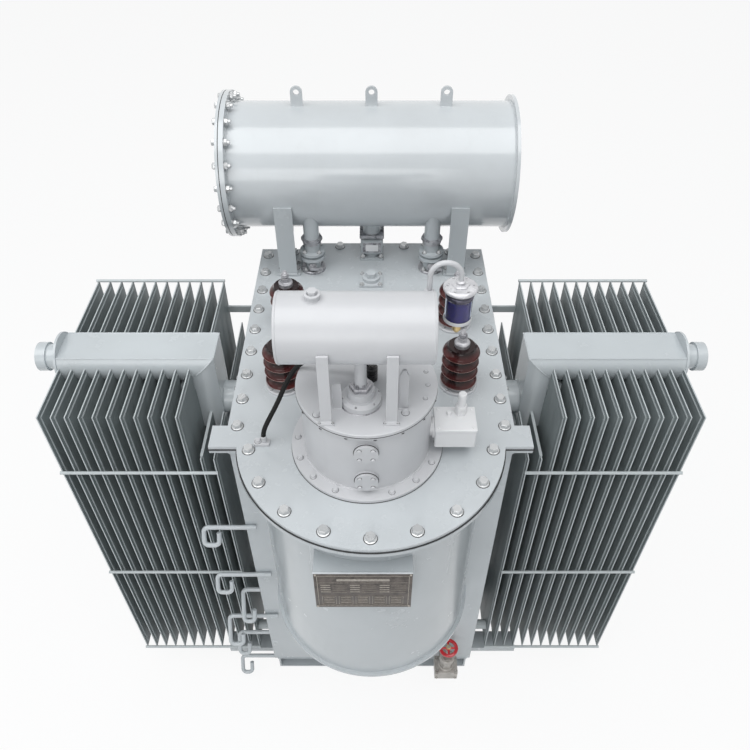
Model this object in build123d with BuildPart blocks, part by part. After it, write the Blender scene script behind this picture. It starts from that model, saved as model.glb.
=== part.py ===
from build123d import *
import math
import os

os.makedirs("parts", exist_ok=True)

# Rectifier transformer. Millimetres, +Z up, the round front of the tank faces -Y.
# The origin is on the ground, below the middle of the whole length and width.

# Tank and cover
skid_height = 120
skid_half_length = 453
skid_depth = 60
skid_wall = 8
outrigger_reach = 690
outrigger_thickness = 33
outrigger_start = 37
outrigger_depth = 85
tank_half_width = 408
tank_depth = 993
wall_height = 1586
front_plate_half_width = 467
front_plate_thickness = 12
flange_thickness = 14
flange_radius = 436
gasket_thickness = 4
gasket_radius = 431
cover_thickness = 12
cover_radius = 432
cover_half_width = 469
cover_overhang = 55
rear_step_depth = 45
rear_step_half_width = 235
ear_half_width = 519
ear_front = 55
ear_back = 36
gusset_width = 45
gusset_height = 66
gusset_thickness = 8
curve_gap = 0.3

# Round front drum
drum_radius = 375
drum_height = 913
drum_rim_radius = 388
drum_rim_thickness = 12

# Radiators
fin_count = 13
fin_pitch = 45
fin_first = 542
fin_front = 33
fin_depth = 734
fin_bottom = 147
fin_top_drop = 35
fin_low_top_drop = 248
fin_seam = 4
fin_body = 10
fin_margin = 16
fin_bevel = 2.5
rod_radius = 6
rod_overlap = 1
rod_heights = [1497, 836, 153]
header_place = 343
header_radius = 84
header_flat_half = 67
header_lift = 106
header_overrun = 5
duct_flat = 544
duct_drop = 332
inlet_radius = 60
inlet_drop = 252
inlet_flange_radius = 84
inlet_flange_place = 480
inlet_flange_thickness = 14
end_disc_radius = 88
end_disc_thickness = 8
nozzle_radius = 44
nozzle_rim_radius = 51.5
nozzle_rim_length = 34
nozzle_length = 80
low_header_radius = 57
low_header_rise = 230
low_flange_radius = 78
low_flange_place = 466
brace_height = 30
brace_thickness = 8
brace_drop = 157
brace_tube_radius = 22
brace_tube_rise = 274
brace_tube_place = 82

# Main conservator
conservator_overhang = 102
conservator_lift = 367
conservator_radius = 240
conservator_wall = 6
conservator_left = 565
conservator_right = 542
conservator_flange_radius = 279
conservator_flange_thickness = 18
conservator_gasket_thickness = 3
conservator_cover_thickness = 10
conservator_end_radius = 262
conservator_end_thickness = 12
lug_width = 45
lug_height = 75
lug_thickness = 10
lug_hole_radius = 11
lug_spacing = 279
bracket_spacing = 678
bracket_setback = 234
bracket_width = 70
bracket_plate = 8
bracket_plate_drop = 52
bracket_web = 10
bracket_foot_length = 110
bracket_foot_width = 96
bracket_foot_thickness = 10
bracket_tail = 300
pipe_spacing = 482
pipe_setback = 183
pipe_radius = 31
pipe_flange_radius = 50
pipe_flange_thickness = 12
valve_rise = 58
valve_gap = 12
valve_radius = 36
relay_setback = 83
relay_pipe_radius = 38
relay_plate = 100
relay_plate_thickness = 12
relay_width = 92
relay_length = 110
relay_height = 60
relay_body_rise = 39
relay_top_rise = 109
relay_top = 96
pocket_x = -3
pocket_setback = 274
pocket_plate = 92
pocket_plate_thickness = 10
pocket_radius = 34
pocket_rim = 14
pocket_hex = 44
pocket_hex_height = 20

# Turret on the round front
turret_x = -12
turret_place = -33
turret_radius = 198
turret_base_radius = 240
turret_base_thickness = 12
turret_height = 270
lid_radius = 210
lid_thickness = 12
lid_ring_thickness = 10
lid_ring_radius = 208
port_radius = 24
port_disc_radius = 35
port_disc_thickness = 9
port_reach = 215
port_rises = [65, 191]
strip_spread = 93
strip_forward = 101
strip_width = 26
strip_thickness = 8
strip_heights = [98, 150]
strip_tips = [22, 8]
strip_tip_height = 24
stub_x = -15
stub_forward = 76
stub_radius = 58
stub_height = 28
union_radius = 39.5
union_height = 26
feed_radius = 17

# Small conservator on the turret
small_x = -37
small_forward = 60
small_lift = 260
small_radius = 97
small_wall = 5
small_length = 418
small_end = 6
small_post_spacing = 181
small_post_x = -32
small_post_width = 31
small_post_thickness = 8
small_post_top_drop = 10
small_foot_length = 44
small_foot_depth = 26
small_foot_thickness = 6
filler_x = -146
filler_radius = 19
filler_height = 12
filler_hex = 28
filler_hex_height = 14

# Breather hung from its bent pipe
breather_x = 237
breather_back = 8
breather_drop = 102
breather_foot_radius = 27
breather_foot_height = 36
breather_rim_radius = 38.5
breather_rim_height = 15
glass_radius = 37
glass_height = 70
breather_neck_radius = 40
breather_neck_height = 34
breather_cap_radius = 46
breather_cap_height = 36
breather_pipe_radius = 7
breather_bend = 40.5
breather_riser_lift = 29

# Bushings
bushing_front_spread = 300
bushing_rear_spread = 310
bushing_front = 232
bushing_rear_setback = 537
bushing_base_radius = 66
bushing_base_height = 16
porcelain_height = 162
porcelain_core = 45
shed_radius = 62
shed_count = 4
terminal_radius = 26
terminal_height = 22
stud_radius = 8
stud_height = 40
stud_nut_radius = 14
stud_nut_height = 12

# Junction box beside the turret
box_left = 196
box_length = 126
box_depth = 98
box_height = 76
box_lift = 51
box_forward = 16
box_neck_radius = 27
gland_x = 278
gland_back = 26
gland_radius = 17
gland_height = 33
gland_cap_radius = 13
gland_cap_height = 52

# Earthing lead from the cover to the turret
lead_radius = 6
lead_pad_x = -348
lead_pad_place = -40
lead_pad_length = 50
lead_pad_depth = 30
lead_pad_height = 10
lead_socket_radius = 9
lead_socket_height = 16
lead_start_shift = 8
terminal_post_x = 2
terminal_post_place = -18
terminal_post_radius = 19
terminal_post_height = 54
terminal_clamp_radius = 10
terminal_clamp_height = 14
lead_end_clearance = 1

# Nameplate and its holder
holder_x = -23
holder_width = 300
holder_drop = 329
holder_height = 208
holder_front = 413
holder_back = 325

# Bent rod hooks at the left front
hook_radius = 9
hook_bend = 18
hook_lean = 30
front_hook_roots = [427, 405, 410]
front_hook_rises = [1235, 901, 557]
front_hook_drops = [72, 80, 140]
side_hook_rises = [755, 373, 131]
side_hook_drops = [150, 110, 90]
hook_end = 622
side_hook_ends = [540, 605, 622]
hook_gap = 56
hook_return = 50
side_hook_gap = 44
side_hook_return = 55

# Drain valve at the right front
drain_x = 343
drain_place = -78
drain_block = 104
drain_depth = 80
drain_height = 64
drain_rise = 136
drain_pipe_radius = 25
bonnet_radius = 30
bonnet_height = 98
spindle_radius = 7
spindle_height = 80
spindle_tip = 5
wheel_radius = 43.5
wheel_rim_radius = 6
wheel_hub_radius = 13
wheel_hub_height = 14
wheel_spokes = 4
wheel_spoke_width = 9
wheel_spoke_height = 6
wheel_gap = 0.3

# Levels and places worked out from the sizes above
conservator_place = tank_depth + conservator_overhang
front_y = (flange_radius - conservator_place - conservator_flange_radius) / 2
cover_depth = tank_depth + cover_overhang
tank_top = skid_height + wall_height
drum_rise = tank_top - drum_height
holder_bottom = tank_top - holder_drop
flange_top = tank_top + flange_thickness
gasket_top = flange_top + gasket_thickness
cover_top = gasket_top + cover_thickness
header_y = front_y + header_place
header_top = tank_top + header_lift
fin_top = header_top - fin_top_drop
fin_low_top = header_top - fin_low_top_drop
duct_bottom = header_top - duct_drop
inlet_rise = header_top - inlet_drop
brace_rise = header_top - brace_drop
header_axis = header_top - math.sqrt(header_radius**2 - header_flat_half**2)
duct_x = duct_flat + (header_top - header_axis)
fin_last = fin_first + (fin_count - 1) * fin_pitch
header_end = fin_last + header_overrun
fin_front_y = front_y + fin_front
fin_back_y = fin_front_y + fin_depth
conservator_y = front_y + conservator_place
conservator_rise = cover_top + conservator_lift
bracket_y = conservator_y - bracket_setback
bracket_plate_top = conservator_rise - bracket_plate_drop
pipe_y = conservator_y - pipe_setback
relay_y = conservator_y - relay_setback
pocket_y = conservator_y - pocket_setback
turret_y = front_y + turret_place
lid_top = cover_top + turret_height
small_y = turret_y - small_forward
small_rise = lid_top + small_lift
small_post_top = small_rise - small_post_top_drop
breather_y = turret_y + breather_back
breather_bottom = small_rise - breather_drop
bushing_rear = conservator_place - bushing_rear_setback
box_y = turret_y - box_forward
box_rise = cover_top + box_lift
gland_y = box_y + gland_back
sides = [("left", -1), ("right", 1)]


def cover_outline(level, radius, trim):
    # Plan of the cover: a rectangle with a round front, side ears and a rear step
    with BuildSketch(Plane.XY.offset(level)) as outline:
        with Locations((0, front_y + (cover_depth - trim) / 2)):
            Rectangle(2 * (cover_half_width - trim), cover_depth - trim)
        with Locations((0, front_y + cover_depth)):
            Rectangle(2 * (rear_step_half_width - trim), 2 * (rear_step_depth - trim))
        with Locations((0, front_y + (ear_back - ear_front) / 2)):
            Rectangle(2 * (ear_half_width - trim), ear_back + ear_front)
        with Locations((0, front_y)):
            Circle(radius)
    return outline.sketch


def tank_outline(level, gap):
    # Plan of the tank walls: the box with the half-round front drum
    with BuildSketch(Plane.XY.offset(level)) as outline:
        with Locations((0, front_y + (tank_depth - front_plate_thickness) / 2)):
            Rectangle(2 * tank_half_width, tank_depth + front_plate_thickness)
        with Locations((0, front_y)):
            Circle(drum_radius + gap)
    return outline.sketch


# Rectangular tank
with BuildPart() as tank_body:
    with BuildSketch(Plane.XY.offset(skid_height)):
        with Locations((0, front_y + tank_depth / 2)):
            Rectangle(2 * tank_half_width, tank_depth)
    extrude(amount=gasket_top - skid_height)
tank_body.part.label = "tank_body"
export_step(tank_body.part, "parts/tank_body.step")

# Wide front plate with the gussets that hold the cover's ears
with BuildPart() as front_plate:
    with BuildSketch(Plane.XZ.offset(-front_y)):
        with Locations((0, skid_height + wall_height / 2)):
            Rectangle(2 * front_plate_half_width, wall_height)
        with Locations((0, (tank_top + gasket_top) / 2)):
            Rectangle(2 * tank_half_width, gasket_top - tank_top)
    extrude(amount=front_plate_thickness)
    for side, sign in sides:
        with BuildSketch(Plane.XZ.offset(-front_y)):
            with BuildLine():
                root = sign * front_plate_half_width
                Polyline(
                    (root, tank_top),
                    (root + sign * gusset_width, tank_top),
                    (root + sign * gusset_width, tank_top - gusset_height / 4),
                    (root, tank_top - gusset_height),
                    close=True,
                )
            make_face()
        extrude(amount=gusset_thickness)
front_plate.part.label = "front_plate"
export_step(front_plate.part, "parts/front_plate.step")

# Half-round drum with its bottom rim
drum_back = front_y - front_plate_thickness
with BuildPart() as drum:
    with BuildSketch(Plane.XY.offset(drum_rise)):
        with Locations((0, front_y)):
            Circle(drum_radius)
    extrude(amount=gasket_top - drum_rise)
    with BuildSketch(Plane.XY.offset(drum_rise)):
        with Locations((0, front_y)):
            Circle(drum_rim_radius)
    extrude(amount=drum_rim_thickness)
    split(bisect_by=Plane.XZ.offset(-drum_back), keep=Keep.TOP)
drum.part.label = "drum"
export_step(drum.part, "parts/drum.step")

# Tank flange, gasket and cover, all cut to one outline
with BuildPart() as tank_flange:
    add(cover_outline(tank_top, flange_radius, 0))
    extrude(amount=flange_thickness)
    add(tank_outline(tank_top, curve_gap))
    extrude(amount=flange_thickness, mode=Mode.SUBTRACT)
tank_flange.part.label = "tank_flange"
export_step(tank_flange.part, "parts/tank_flange.step")

with BuildPart() as cover_gasket:
    add(cover_outline(flange_top, gasket_radius, 2))
    extrude(amount=gasket_thickness)
    add(tank_outline(flange_top, curve_gap))
    extrude(amount=gasket_thickness, mode=Mode.SUBTRACT)
cover_gasket.part.label = "cover_gasket"
export_step(cover_gasket.part, "parts/cover_gasket.step")

with BuildPart() as cover:
    add(cover_outline(gasket_top, cover_radius, 0))
    extrude(amount=cover_thickness)
cover.part.label = "cover"
export_step(cover.part, "parts/cover.step")

# Channel skids with an outrigger plate at each end
for name, edge_y, inward in [("skid_front", front_y, 1), ("skid_rear", front_y + tank_depth, -1)]:
    with BuildPart() as skid:
        with BuildSketch(Plane.XY):
            with Locations((0, edge_y + inward * skid_depth / 2)):
                Rectangle(2 * skid_half_length, skid_depth)
        extrude(amount=skid_height)
        with BuildSketch(Plane.XZ.offset(-edge_y)):
            with Locations((0, skid_height / 2)):
                Rectangle(2 * (skid_half_length - skid_wall), skid_height - 2 * skid_wall)
        extrude(amount=-inward * (skid_depth - skid_wall), mode=Mode.SUBTRACT)
        with BuildSketch(Plane.XY.offset(skid_height - outrigger_thickness)):
            for side, sign in sides:
                with Locations(
                    (
                        sign * (outrigger_reach + skid_half_length - skid_wall) / 2,
                        edge_y + inward * (outrigger_start + outrigger_depth / 2),
                    )
                ):
                    Rectangle(outrigger_reach - skid_half_length + skid_wall, outrigger_depth)
        extrude(amount=outrigger_thickness)
    skid.part.label = name
    export_step(skid.part, f"parts/{name}.step")

# One radiator panel: a thin seam all round and a thicker pressed body
panels = {}
for kind, top in [("tall", fin_top), ("low", fin_low_top)]:
    with BuildPart() as panel:
        with BuildSketch(Plane.YZ.offset(-fin_body / 2)):
            with Locations((fin_front_y + fin_depth / 2, (fin_bottom + top) / 2)):
                Rectangle(fin_depth - 2 * fin_margin, top - fin_bottom - 2 * fin_margin)
        extrude(amount=fin_body)
        chamfer(panel.faces().filter_by(Axis.X).edges(), fin_bevel)
        with BuildSketch(Plane.YZ.offset(-fin_seam / 2)):
            with Locations((fin_front_y + fin_depth / 2, (fin_bottom + top) / 2)):
                Rectangle(fin_depth, top - fin_bottom)
        extrude(amount=fin_seam)
    panels[kind] = panel.part

# Radiators: the panels, notched round the headers and tied by rods
duct_reach = fin_first + 2 * fin_pitch - fin_body / 2 - curve_gap
elbow_bottom = header_top - (duct_x + header_radius - duct_flat)
notch = header_radius + curve_gap
rod_y = fin_front_y - rod_radius + rod_overlap
for side, sign in sides:
    with BuildPart() as fins:
        for number in range(fin_count):
            with Locations((sign * (fin_first + number * fin_pitch), 0, 0)):
                add(panels["tall" if number > 0 else "low"])
        # Notch round the upper header, holes for the lower one
        with BuildSketch(Plane.YZ):
            with Locations((header_y, header_axis)):
                Circle(notch)
            with Locations((header_y, header_axis + notch)):
                Rectangle(2 * notch, 2 * notch)
            with Locations((header_y, low_header_rise)):
                Circle(low_header_radius + curve_gap)
        extrude(amount=sign * (fin_last + fin_pitch), mode=Mode.SUBTRACT)
        # Square notch round the elbow, deeper round its drop
        with BuildSketch(Plane.YZ):
            with Locations((header_y, (elbow_bottom - curve_gap + fin_top) / 2)):
                Rectangle(2 * notch, fin_top - elbow_bottom + curve_gap)
        extrude(amount=sign * (fin_first + 3.5 * fin_pitch), mode=Mode.SUBTRACT)
        with BuildSketch(Plane.YZ):
            with Locations((header_y, (duct_bottom - curve_gap + fin_top) / 2)):
                Rectangle(2 * notch, fin_top - duct_bottom + curve_gap)
        extrude(amount=sign * (fin_first + 1.5 * fin_pitch), mode=Mode.SUBTRACT)
        # The second panel is low in front of the duct
        with BuildSketch(Plane.YZ):
            with Locations(((fin_front_y + header_y) / 2, (fin_low_top + fin_top) / 2)):
                Rectangle(header_y - fin_front_y, fin_top - fin_low_top)
        extrude(amount=sign * (fin_first + 1.5 * fin_pitch), mode=Mode.SUBTRACT)
        # Rods along the front edges and one over the rear tips
        for level in rod_heights:
            with BuildSketch(Plane.YZ.offset(sign * (fin_first - rod_radius))):
                with Locations((rod_y, level)):
                    Circle(rod_radius)
            extrude(amount=sign * (fin_last - fin_first + 2 * rod_radius))
        with BuildSketch(Plane.YZ.offset(sign * (fin_first + fin_pitch - rod_radius))):
            with Locations((fin_back_y - rod_radius, fin_top + rod_radius - rod_overlap)):
                Circle(rod_radius)
        extrude(amount=sign * (fin_last - fin_first - fin_pitch + 2 * rod_radius))
    fins.part.label = f"fins_{side}"
    export_step(fins.part, f"parts/fins_{side}.step")


def flat_topped(radius, flat):
    # A round pipe section with its top cut flat
    with BuildSketch() as section:
        Circle(radius)
        with Locations((0, flat + radius)):
            Rectangle(4 * radius, 2 * radius, mode=Mode.SUBTRACT)
    return section.sketch


# Upper headers: a flat-topped pipe with a mitred drop to the tank
chord = header_top - header_axis
for side, sign in sides:
    mitre = Plane(origin=(sign * duct_flat, header_y, header_top), z_dir=(sign, 0, 1))
    along = Plane(
        origin=(sign * duct_flat, header_y, header_axis), x_dir=(0, sign, 0), z_dir=(sign, 0, 0)
    )
    with BuildPart() as arm:
        with BuildSketch(along):
            add(flat_topped(header_radius, chord))
        extrude(amount=header_end - duct_flat)
        split(bisect_by=mitre, keep=Keep.TOP)
    with BuildPart() as drop:
        with BuildSketch(Plane.XY.offset(duct_bottom)):
            with Locations((sign * duct_x, header_y)):
                Circle(header_radius)
            with Locations((sign * (duct_flat - header_radius), header_y)):
                Rectangle(2 * header_radius, 4 * header_radius, mode=Mode.SUBTRACT)
        extrude(amount=header_top - duct_bottom)
        with BuildSketch(Plane.XY.offset(duct_bottom)):
            with Locations((sign * (duct_reach + header_radius), header_y)):
                Rectangle(2 * header_radius, 4 * header_radius)
        extrude(amount=elbow_bottom - duct_bottom, mode=Mode.SUBTRACT)
        split(bisect_by=mitre, keep=Keep.BOTTOM)
    with BuildPart() as header:
        add(arm.part)
        add(drop.part)
        # Inlet stub with its bolted flange pair on the tank wall
        with BuildSketch(Plane.YZ.offset(sign * tank_half_width)):
            with Locations((header_y, inlet_rise)):
                Circle(inlet_radius)
        extrude(amount=sign * (duct_flat + header_radius / 4 - tank_half_width))
        with BuildSketch(Plane.YZ.offset(sign * (inlet_flange_place - inlet_flange_thickness))):
            with Locations((header_y, inlet_rise)):
                Circle(inlet_flange_radius)
        extrude(amount=sign * 2 * inlet_flange_thickness)
        # Outer end: closing disc, nozzle and its rim
        with BuildSketch(Plane.YZ.offset(sign * header_end)):
            with Locations((header_y, header_axis)):
                Circle(end_disc_radius)
        extrude(amount=sign * end_disc_thickness)
        with BuildSketch(Plane.YZ.offset(sign * header_end)):
            with Locations((header_y, header_axis)):
                Circle(nozzle_radius)
        extrude(amount=sign * (end_disc_thickness + nozzle_length))
        rim_start = header_end + end_disc_thickness + nozzle_length - nozzle_rim_length
        with BuildSketch(Plane.YZ.offset(sign * rim_start)):
            with Locations((header_y, header_axis)):
                Circle(nozzle_rim_radius)
        extrude(amount=sign * nozzle_rim_length)
    header.part.label = f"upper_header_{side}"
    export_step(header.part, f"parts/upper_header_{side}.step")

# Lower headers through all panels
for side, sign in sides:
    with BuildPart() as low_header:
        with BuildSketch(Plane.YZ.offset(sign * tank_half_width)):
            with Locations((header_y, low_header_rise)):
                Circle(low_header_radius)
        extrude(amount=sign * (header_end - tank_half_width))
        with BuildSketch(Plane.YZ.offset(sign * low_flange_place)):
            with Locations((header_y, low_header_rise)):
                Circle(low_flange_radius)
        extrude(amount=sign * 2 * inlet_flange_thickness)
    low_header.part.label = f"lower_header_{side}"
    export_step(low_header.part, f"parts/lower_header_{side}.step")

# Braces from the tank walls to the inner panels
for side, sign in sides:
    with BuildPart() as braces:
        with BuildSketch(Plane.YZ.offset(sign * tank_half_width)):
            with Locations((fin_back_y - fin_margin - brace_thickness, brace_rise)):
                Rectangle(brace_thickness, brace_height)
        extrude(amount=sign * (fin_first + fin_pitch - fin_body / 2 - tank_half_width))
        with BuildSketch(Plane.YZ.offset(sign * tank_half_width)):
            with Locations((front_y + brace_tube_place, brace_tube_rise)):
                Circle(brace_tube_radius)
        extrude(amount=sign * (fin_first - fin_body / 2 - tank_half_width))
    braces.part.label = f"braces_{side}"
    export_step(braces.part, f"parts/braces_{side}.step")

# Main conservator: shell with the left flange, gasket, bolted cover and right end
shell_left = (
    conservator_left - conservator_cover_thickness - conservator_gasket_thickness
)
shell_right = conservator_right - conservator_end_thickness
with BuildPart() as conservator_shell:
    with BuildSketch(Plane.YZ.offset(-shell_left)):
        with Locations((conservator_y, conservator_rise)):
            Circle(conservator_radius)
    extrude(amount=shell_left + shell_right)
    with BuildSketch(Plane.YZ.offset(-shell_left)):
        with Locations((conservator_y, conservator_rise)):
            Circle(conservator_flange_radius)
    extrude(amount=conservator_flange_thickness)
    with BuildSketch(Plane.YZ.offset(-shell_left)):
        with Locations((conservator_y, conservator_rise)):
            Circle(conservator_radius - conservator_wall)
    extrude(amount=shell_left + shell_right, mode=Mode.SUBTRACT)
conservator_shell.part.label = "conservator_shell"
export_step(conservator_shell.part, "parts/conservator_shell.step")

with BuildPart() as conservator_gasket:
    with BuildSketch(Plane.YZ.offset(-shell_left - conservator_gasket_thickness)):
        with Locations((conservator_y, conservator_rise)):
            Circle(conservator_flange_radius - 2)
            Circle(conservator_radius - conservator_wall, mode=Mode.SUBTRACT)
    extrude(amount=conservator_gasket_thickness)
conservator_gasket.part.label = "conservator_gasket"
export_step(conservator_gasket.part, "parts/conservator_gasket.step")

with BuildPart() as conservator_cover:
    with BuildSketch(Plane.YZ.offset(-conservator_left)):
        with Locations((conservator_y, conservator_rise)):
            Circle(conservator_flange_radius)
    extrude(amount=conservator_cover_thickness)
conservator_cover.part.label = "conservator_cover"
export_step(conservator_cover.part, "parts/conservator_cover.step")

with BuildPart() as conservator_end:
    with BuildSketch(Plane.YZ.offset(shell_right)):
        with Locations((conservator_y, conservator_rise)):
            Circle(conservator_end_radius)
    extrude(amount=conservator_end_thickness)
conservator_end.part.label = "conservator_end"
export_step(conservator_end.part, "parts/conservator_end.step")

# Lifting lugs along the conservator's top
lug_base = conservator_rise + conservator_radius - lug_thickness
lug_top = conservator_rise + conservator_radius + lug_height
with BuildPart() as lugs:
    with BuildSketch(Plane.XZ.offset(-conservator_y - lug_thickness / 2)):
        for lug_x in [-lug_spacing, 0, lug_spacing]:
            with Locations((lug_x, (lug_base + lug_top - lug_width / 2) / 2)):
                Rectangle(lug_width, lug_top - lug_width / 2 - lug_base)
            with Locations((lug_x, lug_top - lug_width / 2)):
                Circle(lug_width / 2)
                Circle(lug_hole_radius, mode=Mode.SUBTRACT)
    extrude(amount=lug_thickness)
    with BuildSketch(Plane.YZ.offset(-lug_spacing - lug_width)):
        with Locations((conservator_y, conservator_rise)):
            Circle(conservator_radius + curve_gap)
    extrude(amount=2 * (lug_spacing + lug_width), mode=Mode.SUBTRACT)
lugs.part.label = "conservator_lugs"
export_step(lugs.part, "parts/conservator_lugs.step")

# Conservator brackets: front plate, saddle web and foot
for side, sign in sides:
    bracket_x = sign * bracket_spacing / 2
    with BuildPart() as bracket:
        with BuildSketch(Plane.XY.offset(cover_top)):
            with Locations((bracket_x, bracket_y - bracket_plate + bracket_foot_length / 2)):
                Rectangle(bracket_foot_width, bracket_foot_length)
        extrude(amount=bracket_foot_thickness)
        with BuildSketch(Plane.YZ.offset(bracket_x - bracket_web / 2)):
            with BuildLine():
                Polyline(
                    (bracket_y, cover_top),
                    (bracket_y + bracket_foot_length - bracket_plate, cover_top),
                    (bracket_y + bracket_tail, conservator_rise - conservator_radius - 32),
                    (bracket_y + bracket_tail, conservator_rise),
                    (bracket_y, bracket_plate_top),
                    close=True,
                )
            make_face()
        extrude(amount=bracket_web)
        with BuildSketch(Plane.XZ.offset(-bracket_y)):
            with Locations((bracket_x, (cover_top + bracket_plate_top) / 2)):
                Rectangle(bracket_width, bracket_plate_top - cover_top)
        extrude(amount=bracket_plate)
        with BuildSketch(Plane.YZ.offset(bracket_x - bracket_foot_width)):
            with Locations((conservator_y, conservator_rise)):
                Circle(conservator_radius + curve_gap)
        extrude(amount=2 * bracket_foot_width, mode=Mode.SUBTRACT)
    bracket.part.label = f"conservator_bracket_{side}"
    export_step(bracket.part, f"parts/conservator_bracket_{side}.step")

# Side pipes down from the conservator, each with a flanged valve
for side, sign in sides:
    pipe_x = sign * pipe_spacing / 2
    with BuildPart() as pipe:
        with BuildSketch(Plane.XY.offset(cover_top)):
            with Locations((pipe_x, pipe_y)):
                Circle(pipe_radius)
        extrude(amount=conservator_rise - cover_top)
        valve_base = cover_top + valve_rise
        for level in [valve_base, valve_base + valve_gap + pipe_flange_thickness]:
            with BuildSketch(Plane.XY.offset(level)):
                with Locations((pipe_x, pipe_y)):
                    Circle(pipe_flange_radius)
            extrude(amount=pipe_flange_thickness)
        with BuildSketch(Plane.XY.offset(valve_base)):
            with Locations((pipe_x, pipe_y)):
                Circle(valve_radius)
        extrude(amount=2 * pipe_flange_thickness + valve_gap)
        with BuildSketch(Plane.YZ.offset(pipe_x - 2 * pipe_radius)):
            with Locations((conservator_y, conservator_rise)):
                Circle(conservator_radius + curve_gap)
        extrude(amount=4 * pipe_radius, mode=Mode.SUBTRACT)
    pipe.part.label = f"oil_pipe_{side}"
    export_step(pipe.part, f"parts/oil_pipe_{side}.step")

# Middle pipe with the square-flanged relay
relay_base = cover_top + relay_body_rise
with BuildPart() as relay:
    with BuildSketch(Plane.XY.offset(cover_top)):
        with Locations((0, relay_y)):
            Circle(relay_pipe_radius)
    extrude(amount=conservator_rise - conservator_radius / 2 - cover_top)
    for level, width in [(cover_top, relay_plate), (cover_top + relay_top_rise, relay_top)]:
        with BuildSketch(Plane.XY.offset(level)):
            with Locations((0, relay_y)):
                RectangleRounded(width, width, 10)
        extrude(amount=relay_plate_thickness)
    with BuildSketch(Plane.XY.offset(relay_base)):
        with Locations((0, relay_y)):
            RectangleRounded(relay_width, relay_length, 18)
    extrude(amount=relay_height)
    with BuildSketch(Plane.YZ.offset(-relay_plate)):
        with Locations((conservator_y, conservator_rise)):
            Circle(conservator_radius + curve_gap)
    extrude(amount=2 * relay_plate, mode=Mode.SUBTRACT)
relay.part.label = "gas_relay"
export_step(relay.part, "parts/gas_relay.step")

# Thermometer pocket on its square pad
with BuildPart() as pocket:
    with BuildSketch(Plane.XY.offset(cover_top)):
        with Locations((pocket_x, pocket_y)):
            RectangleRounded(pocket_plate, pocket_plate, 6)
    extrude(amount=pocket_plate_thickness)
    with BuildSketch(Plane.XY.offset(cover_top + pocket_plate_thickness)):
        with Locations((pocket_x, pocket_y)):
            Circle(pocket_radius)
    extrude(amount=pocket_rim)
    with BuildSketch(Plane.XY.offset(cover_top + pocket_plate_thickness + pocket_rim)):
        with Locations((pocket_x, pocket_y)):
            RegularPolygon(pocket_hex / 2, 6)
    extrude(amount=pocket_hex_height)
pocket.part.label = "thermometer_pocket"
export_step(pocket.part, "parts/thermometer_pocket.step")

# Turret: base flange, barrel, top ring and two blanked ports in front
lid_base = lid_top - lid_thickness
with BuildPart() as turret:
    with BuildSketch(Plane.XY.offset(cover_top)):
        with Locations((turret_x, turret_y)):
            Circle(turret_radius)
    extrude(amount=lid_base - cover_top)
    with BuildSketch(Plane.XY.offset(cover_top)):
        with Locations((turret_x, turret_y)):
            Circle(turret_base_radius)
    extrude(amount=turret_base_thickness)
    with BuildSketch(Plane.XY.offset(lid_base - lid_ring_thickness)):
        with Locations((turret_x, turret_y)):
            Circle(lid_ring_radius)
    extrude(amount=lid_ring_thickness)
    for rise in port_rises:
        with BuildSketch(Plane.XZ.offset(-turret_y)):
            with Locations((turret_x, cover_top + rise)):
                Circle(port_radius)
        extrude(amount=port_reach)
        for back in [0, port_disc_thickness + 1]:
            with BuildSketch(Plane.XZ.offset(-turret_y + port_reach - back)):
                with Locations((turret_x, cover_top + rise)):
                    Circle(port_disc_radius)
            extrude(amount=-port_disc_thickness)
turret.part.label = "turret"
export_step(turret.part, "parts/turret.step")

# Turret lid with two upright strips
with BuildPart() as lid:
    with BuildSketch(Plane.XY.offset(lid_base)):
        with Locations((turret_x, turret_y)):
            Circle(lid_radius)
    extrude(amount=lid_thickness)
    fillet(lid.edges().filter_by(GeomType.CIRCLE).group_by(Axis.Z)[-1], 3)
    for sign, height, tip in zip([-1, 1], strip_heights, strip_tips):
        strip_x = sign * strip_spread
        with BuildSketch(Plane.XZ.offset(-(turret_y - strip_forward))):
            with BuildLine():
                Polyline(
                    (strip_x - strip_width / 2, lid_base),
                    (strip_x + strip_width / 2, lid_base),
                    (strip_x + strip_width / 2, lid_top + height - strip_tip_height),
                    (strip_x + tip / 2, lid_top + height),
                    (strip_x - tip / 2, lid_top + height),
                    (strip_x - strip_width / 2, lid_top + height - strip_tip_height),
                    close=True,
                )
            make_face()
        extrude(amount=strip_thickness)
lid.part.label = "turret_lid"
export_step(lid.part, "parts/turret_lid.step")

# Feed from the small conservator into the turret
feed_x = turret_x + stub_x
feed_y = turret_y - stub_forward
with BuildPart() as feed:
    with BuildSketch(Plane.XY.offset(lid_top)):
        with Locations((feed_x, feed_y)):
            Circle(stub_radius)
    extrude(amount=stub_height)
    chamfer(feed.edges().filter_by(GeomType.CIRCLE).group_by(Axis.Z)[-1], 10)
    with BuildSketch(Plane.XY.offset(lid_top + stub_height)):
        with Locations((feed_x, feed_y)):
            Circle(union_radius)
    extrude(amount=union_height)
    with BuildSketch(Plane.XY.offset(lid_top + stub_height)):
        with Locations((feed_x, feed_y)):
            Circle(feed_radius)
    extrude(amount=small_rise - lid_top - stub_height)
    with BuildSketch(Plane.YZ.offset(feed_x - 2 * feed_radius)):
        with Locations((small_y, small_rise)):
            Circle(small_radius + curve_gap)
    extrude(amount=4 * feed_radius, mode=Mode.SUBTRACT)
feed.part.label = "turret_feed"
export_step(feed.part, "parts/turret_feed.step")

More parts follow.
